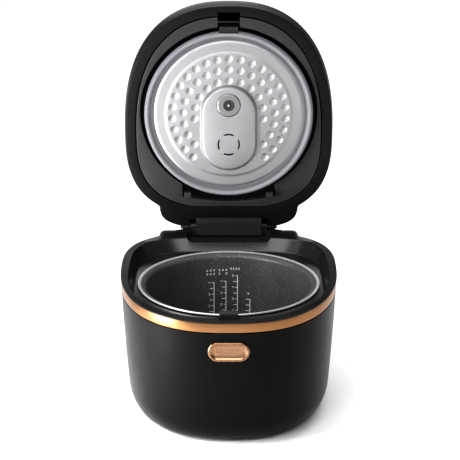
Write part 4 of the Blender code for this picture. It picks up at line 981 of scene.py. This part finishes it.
def make_pad():
    """Raised pad with rounded edges, open for the sensor and the steam slots."""
    outer = [(0.2, -5.6), (PAD_RADIUS - 1.0, -5.6), (PAD_RADIUS + 0.1, -5.4), (PAD_RADIUS + 1.0, -4.9),
             (PAD_RADIUS + 1.7, -4.2), (PAD_RADIUS + 3.3, -0.4), (PAD_RADIUS + 3.9, 0.5),
             (PAD_RADIUS + 4.6, 0.75)]
    inner = [(PAD_RADIUS + 4.6, 1.7), (PAD_RADIUS + 1.8, 1.7), (PAD_RADIUS - 0.8, -4.2), (0.2, -4.2)]
    rings = [[(x, y, z) for x, y in stadium(radius, *PAD_Y, 48)] for radius, z in outer + inner]
    obj = mesh_object("pad", skin(rings, caps=False), "lid")
    slots = []
    for middle in (0, 90, 180, 270):
        outline = arc((0, STEAM_Y), 12.4, middle - 27, 54, 12) + arc((0, STEAM_Y), 14.4, middle + 27, -54, 12)
        slots.append(prism(outline, -9, -3, "Z"))
    boolean(obj, [disc(15.3, -12, 8, "Z", (0, SENSOR_Y, 0), 96), joined(slots)], "lid", 'DIFFERENCE')
    finish_piece(obj, "pad", M["plate"], "inner_lid_set", (), "aluminium")


def make_seal():
    path = [(95.6, 1.9), (96.1, 1.2), (97.2, 1.0), (97.6, 1.5), (98.0, 1.0), (98.9, 0.9), (99.3, 1.4),
            (99.7, 0.8), (101.2, 0.2), (101.9, -0.7), (102.8, -1.6), (103.9, -1.9), (105.0, -1.7),
            (106.1, -0.6), (107.1, 0.9), (107.7, 2.4), (107.7, 6.0), (106.2, 7.4), (99.8, 7.4),
            (99.8, 2.6), (95.6, 2.3)]
    obj = piece("seal_ring", lathe(path, 360), [M["seal"], M["seal_inner"]], "inner_lid_set", ["lid_seal"],
                "silicone", cuts=[box((-12.4, -115, -5), (12.4, -105.2, 3.8))])
    paint_where(obj, "lid", 1, lambda x, y, z: math.hypot(x, y) < 101.4)


def make_sensor():
    profile = rounded([(0, -7.2), (1.2, -7.2), (1.5, -6.8), (2.6, -6.8), (3.2, -6.2), (4.6, -6.2),
                       (5.2, -6.9), (6.6, -6.9), (7.4, -6.6), (13.6, -6.6), (14.9, -5.9), (14.9, 4.0),
                       (0, 4.0)], [0, 0.2, 0.2, 0.3, 0.3, 0.3, 0.3, 0.4, 0.2, 0.6, 0.5, 0.3, 0], 4)
    obj = piece("probe", lathe(profile, 128, "Z", (0, SENSOR_Y, 0), closed=False),
                [M["washer"], M["rubber"], M["steel"]], "inner_lid_set", ["lid_sensor"], "rubber")
    paint_where(obj, "lid", 1, lambda x, y, z: math.hypot(x, y - SENSOR_Y) < 7.3)
    paint_where(obj, "lid", 2, lambda x, y, z: math.hypot(x, y - SENSOR_Y) < 1.3)


def make_lid_top():
    edge = rounded_rectangle(44.0, PANEL_HALF, 8.0, (0, PANEL_MIDDLE), 10)

    def level(share, drop, inward=0.0):
        spots = [(x * share * (1 - inward), PANEL_MIDDLE + (y - PANEL_MIDDLE) * share * (1 - inward))
                 for x, y in edge]
        return [(x, y, dome_height(x, y) - drop) for x, y in spots]
    rings = [level(share, 0.0) for share in (0.04, 0.25, 0.45, 0.65, 0.82, 0.94)]
    rings += [level(1.0, 0.08, 0.012), level(1.0, 0.45), level(1.0, 2.4), level(0.04, 2.4)]
    piece("touch_panel", skin(rings), M["panel"], "lid", ["control_panel"], "gloss_black")
    marks = []

    def mark(x, y, half_x, half_y, corner):
        outline = rounded_rectangle(half_x, half_y, corner, (x, y), 4)
        marks.append(skin([[(a, b, dome_height(a, b) + rise) for a, b in outline] for rise in (-0.1, 0.04)]))
    for side in (-1, 1):
        for row in range(3):
            mark(side * 34.0, PANEL_MIDDLE - 18 + 18 * row, 3.2, 0.7, 0.6)
            mark(side * 34.0, PANEL_MIDDLE - 14.6 + 18 * row, 1.9, 0.5, 0.4)
    for x in (-18, 0, 18):
        mark(x, PANEL_MIDDLE - 22, 3.4, 0.7, 0.6)
    piece("panel_symbols", joined(marks), M["icon"], "lid")
    centre = (0, STEAM_Y, 0)
    cap = rounded([(0, 65.6), (19.5, 65.3), (22.4, 64.4), (22.4, 53.0), (20.8, 53.0), (20.8, 62.8),
                   (0, 63.2)], [0, 1.5, 0.8, 0.4, 0.4, 1.0, 0], 5)
    slots = [prism(rounded_rectangle(9.0, 1.6, 1.5, (0, STEAM_Y - 5.6 + 5.6 * k)), 60, 70, "Z")
             for k in range(3)]
    piece("vent", lathe(cap, 128, "Z", centre, closed=False), M["lid_shell"], "vent_cap", ["steam_cap"],
          "satin_black", cuts=[joined(slots)])
    seat = rounded([(22.9, 64.2), (24.0, 64.2), (24.0, 50.0), (9.4, 50.0), (9.4, 12.6), (7.6, 12.6),
                    (7.6, 51.6), (22.9, 51.6)], [0.3, 0.3, 0.6, 0.6, 0.3, 0.3, 0.8, 0.8], 4, True)
    piece("vent_seat", lathe(seat, 128, "Z", centre), M["inner"], "lid", ["steam_seat"], "inner_plastic")
    duct = rounded([(16.2, -3.8), (17.6, -3.8), (17.6, 7.2), (4.0, 7.2), (4.0, 5.8), (16.2, 5.8)],
                   [0.4, 0.4, 0.6, 0.4, 0.3, 0.6], 4, True)
    piece("valve_cup", lathe(duct, 96, "Z", centre), M["seal_inner"], "inner_lid_set", ["steam_valve"],
          "silicone")


# ---------------------------------------------------------------- set, light and camera

def make_floor():
    outline = rounded_rectangle(4000, 4000, 200)
    obj = mesh_object("floor", prism(outline, -163.5, -161.5, "Z"), "body")
    material = surface("floor_paper", (0.90, 0.90, 0.90), 0.8, vary=0.01, grain=30, bump=0.0)
    obj.data.materials.append(material)


def add_aimed(name, data, place, aim):
    """Light or camera at a place, turned towards its aim."""
    obj = add_object(name, data)
    obj.location = place
    obj.rotation_euler = (Vector(aim) - Vector(place)).to_track_quat('-Z', 'Y').to_euler()
    return obj


def area_light(name, place, aim, size, power):
    data = bpy.data.lights.new(name, 'AREA')
    data.shape = 'RECTANGLE'
    data.size, data.size_y = size
    data.energy = power
    add_aimed(name, data, place, aim)


def make_lights():
    middle = (0, 0, 0.16)
    area_light("backdrop", (0.0, 1.5, 2.8), (0.0, 1.3, 0.0), (4.2, 3.2), 98)
    area_light("key_upper_left", (-0.75, -0.8, 1.8), middle, (1.1, 1.1), 10)
    area_light("strip_left", (-0.46, -0.30, 0.20), (0, -0.06, 0.10), (0.24, 0.38), 5.4)
    area_light("strip_right", (0.60, -0.16, 0.26), (0, 0.0, 0.18), (0.12, 0.30), 0.30)
    area_light("front_top", (-0.15, -1.5, 1.15), (0, 0.1, 0.17), (1.5, 0.6), 13)
    area_light("rear_panel", (-0.22, 2.0, 0.95), (0, 0.0, 0.17), (1.0, 0.6), 2.0)
    world = bpy.data.worlds.new("studio")
    world.use_nodes = True
    background = world.node_tree.nodes["Background"]
    background.inputs["Color"].default_value = (1, 1, 1, 1)
    background.inputs["Strength"].default_value = 0.20
    bpy.context.scene.world = world


def make_camera():
    data = bpy.data.cameras.new("camera")
    data.sensor_width = 36.0
    data.lens = 120.7
    data.shift_x = 0.0028
    bpy.context.scene.camera = add_aimed("camera", data, (0, -1.8016, 0.8218), (0, 0.0277, 0.2069))


CARRIED_NODES = {
    "inner": ["coil_carrier"], "base": ["base_cover"], "winding": ["induction_coil"],
    "ferrite": ["fan_frame", "fan_rotor", "ferrite_bar_1", "ferrite_bar_2", "ferrite_bar_3", "ferrite_bar_4"],
    "steel": ["sensor_spring", "latch_pin", "heat_sink", "pot_sensor"],
    "board": ["main_board", "control_board"],
    "brass": ["inlet_pin_line", "inlet_pin_earth", "inlet_pin_neutral"],
}


def paint_carried_nodes():
    """Gives each CAD node that stays in view its finished material."""
    for key, names in CARRIED_NODES.items():
        for name in names:
            materials = frame["nodes"][name].data.materials
            materials.clear()
            materials.append(M[key])


def main():
    for make in (make_camera, make_shell, make_band, make_rim, make_pot, make_scales, make_well, make_button,
                 make_latch, make_hinge, make_knuckles, make_underside, make_inlet, make_lid_cover,
                 make_lid_rim, make_liner, make_lid_fittings, make_plate, make_pad, make_seal, make_sensor,
                 make_lid_top, paint_carried_nodes, make_floor, make_lights):
        make()
    bpy.context.scene.view_settings.view_transform = 'Standard'
    bpy.context.scene.view_settings.look = 'High Contrast'
    bpy.context.view_layer.update()


main()
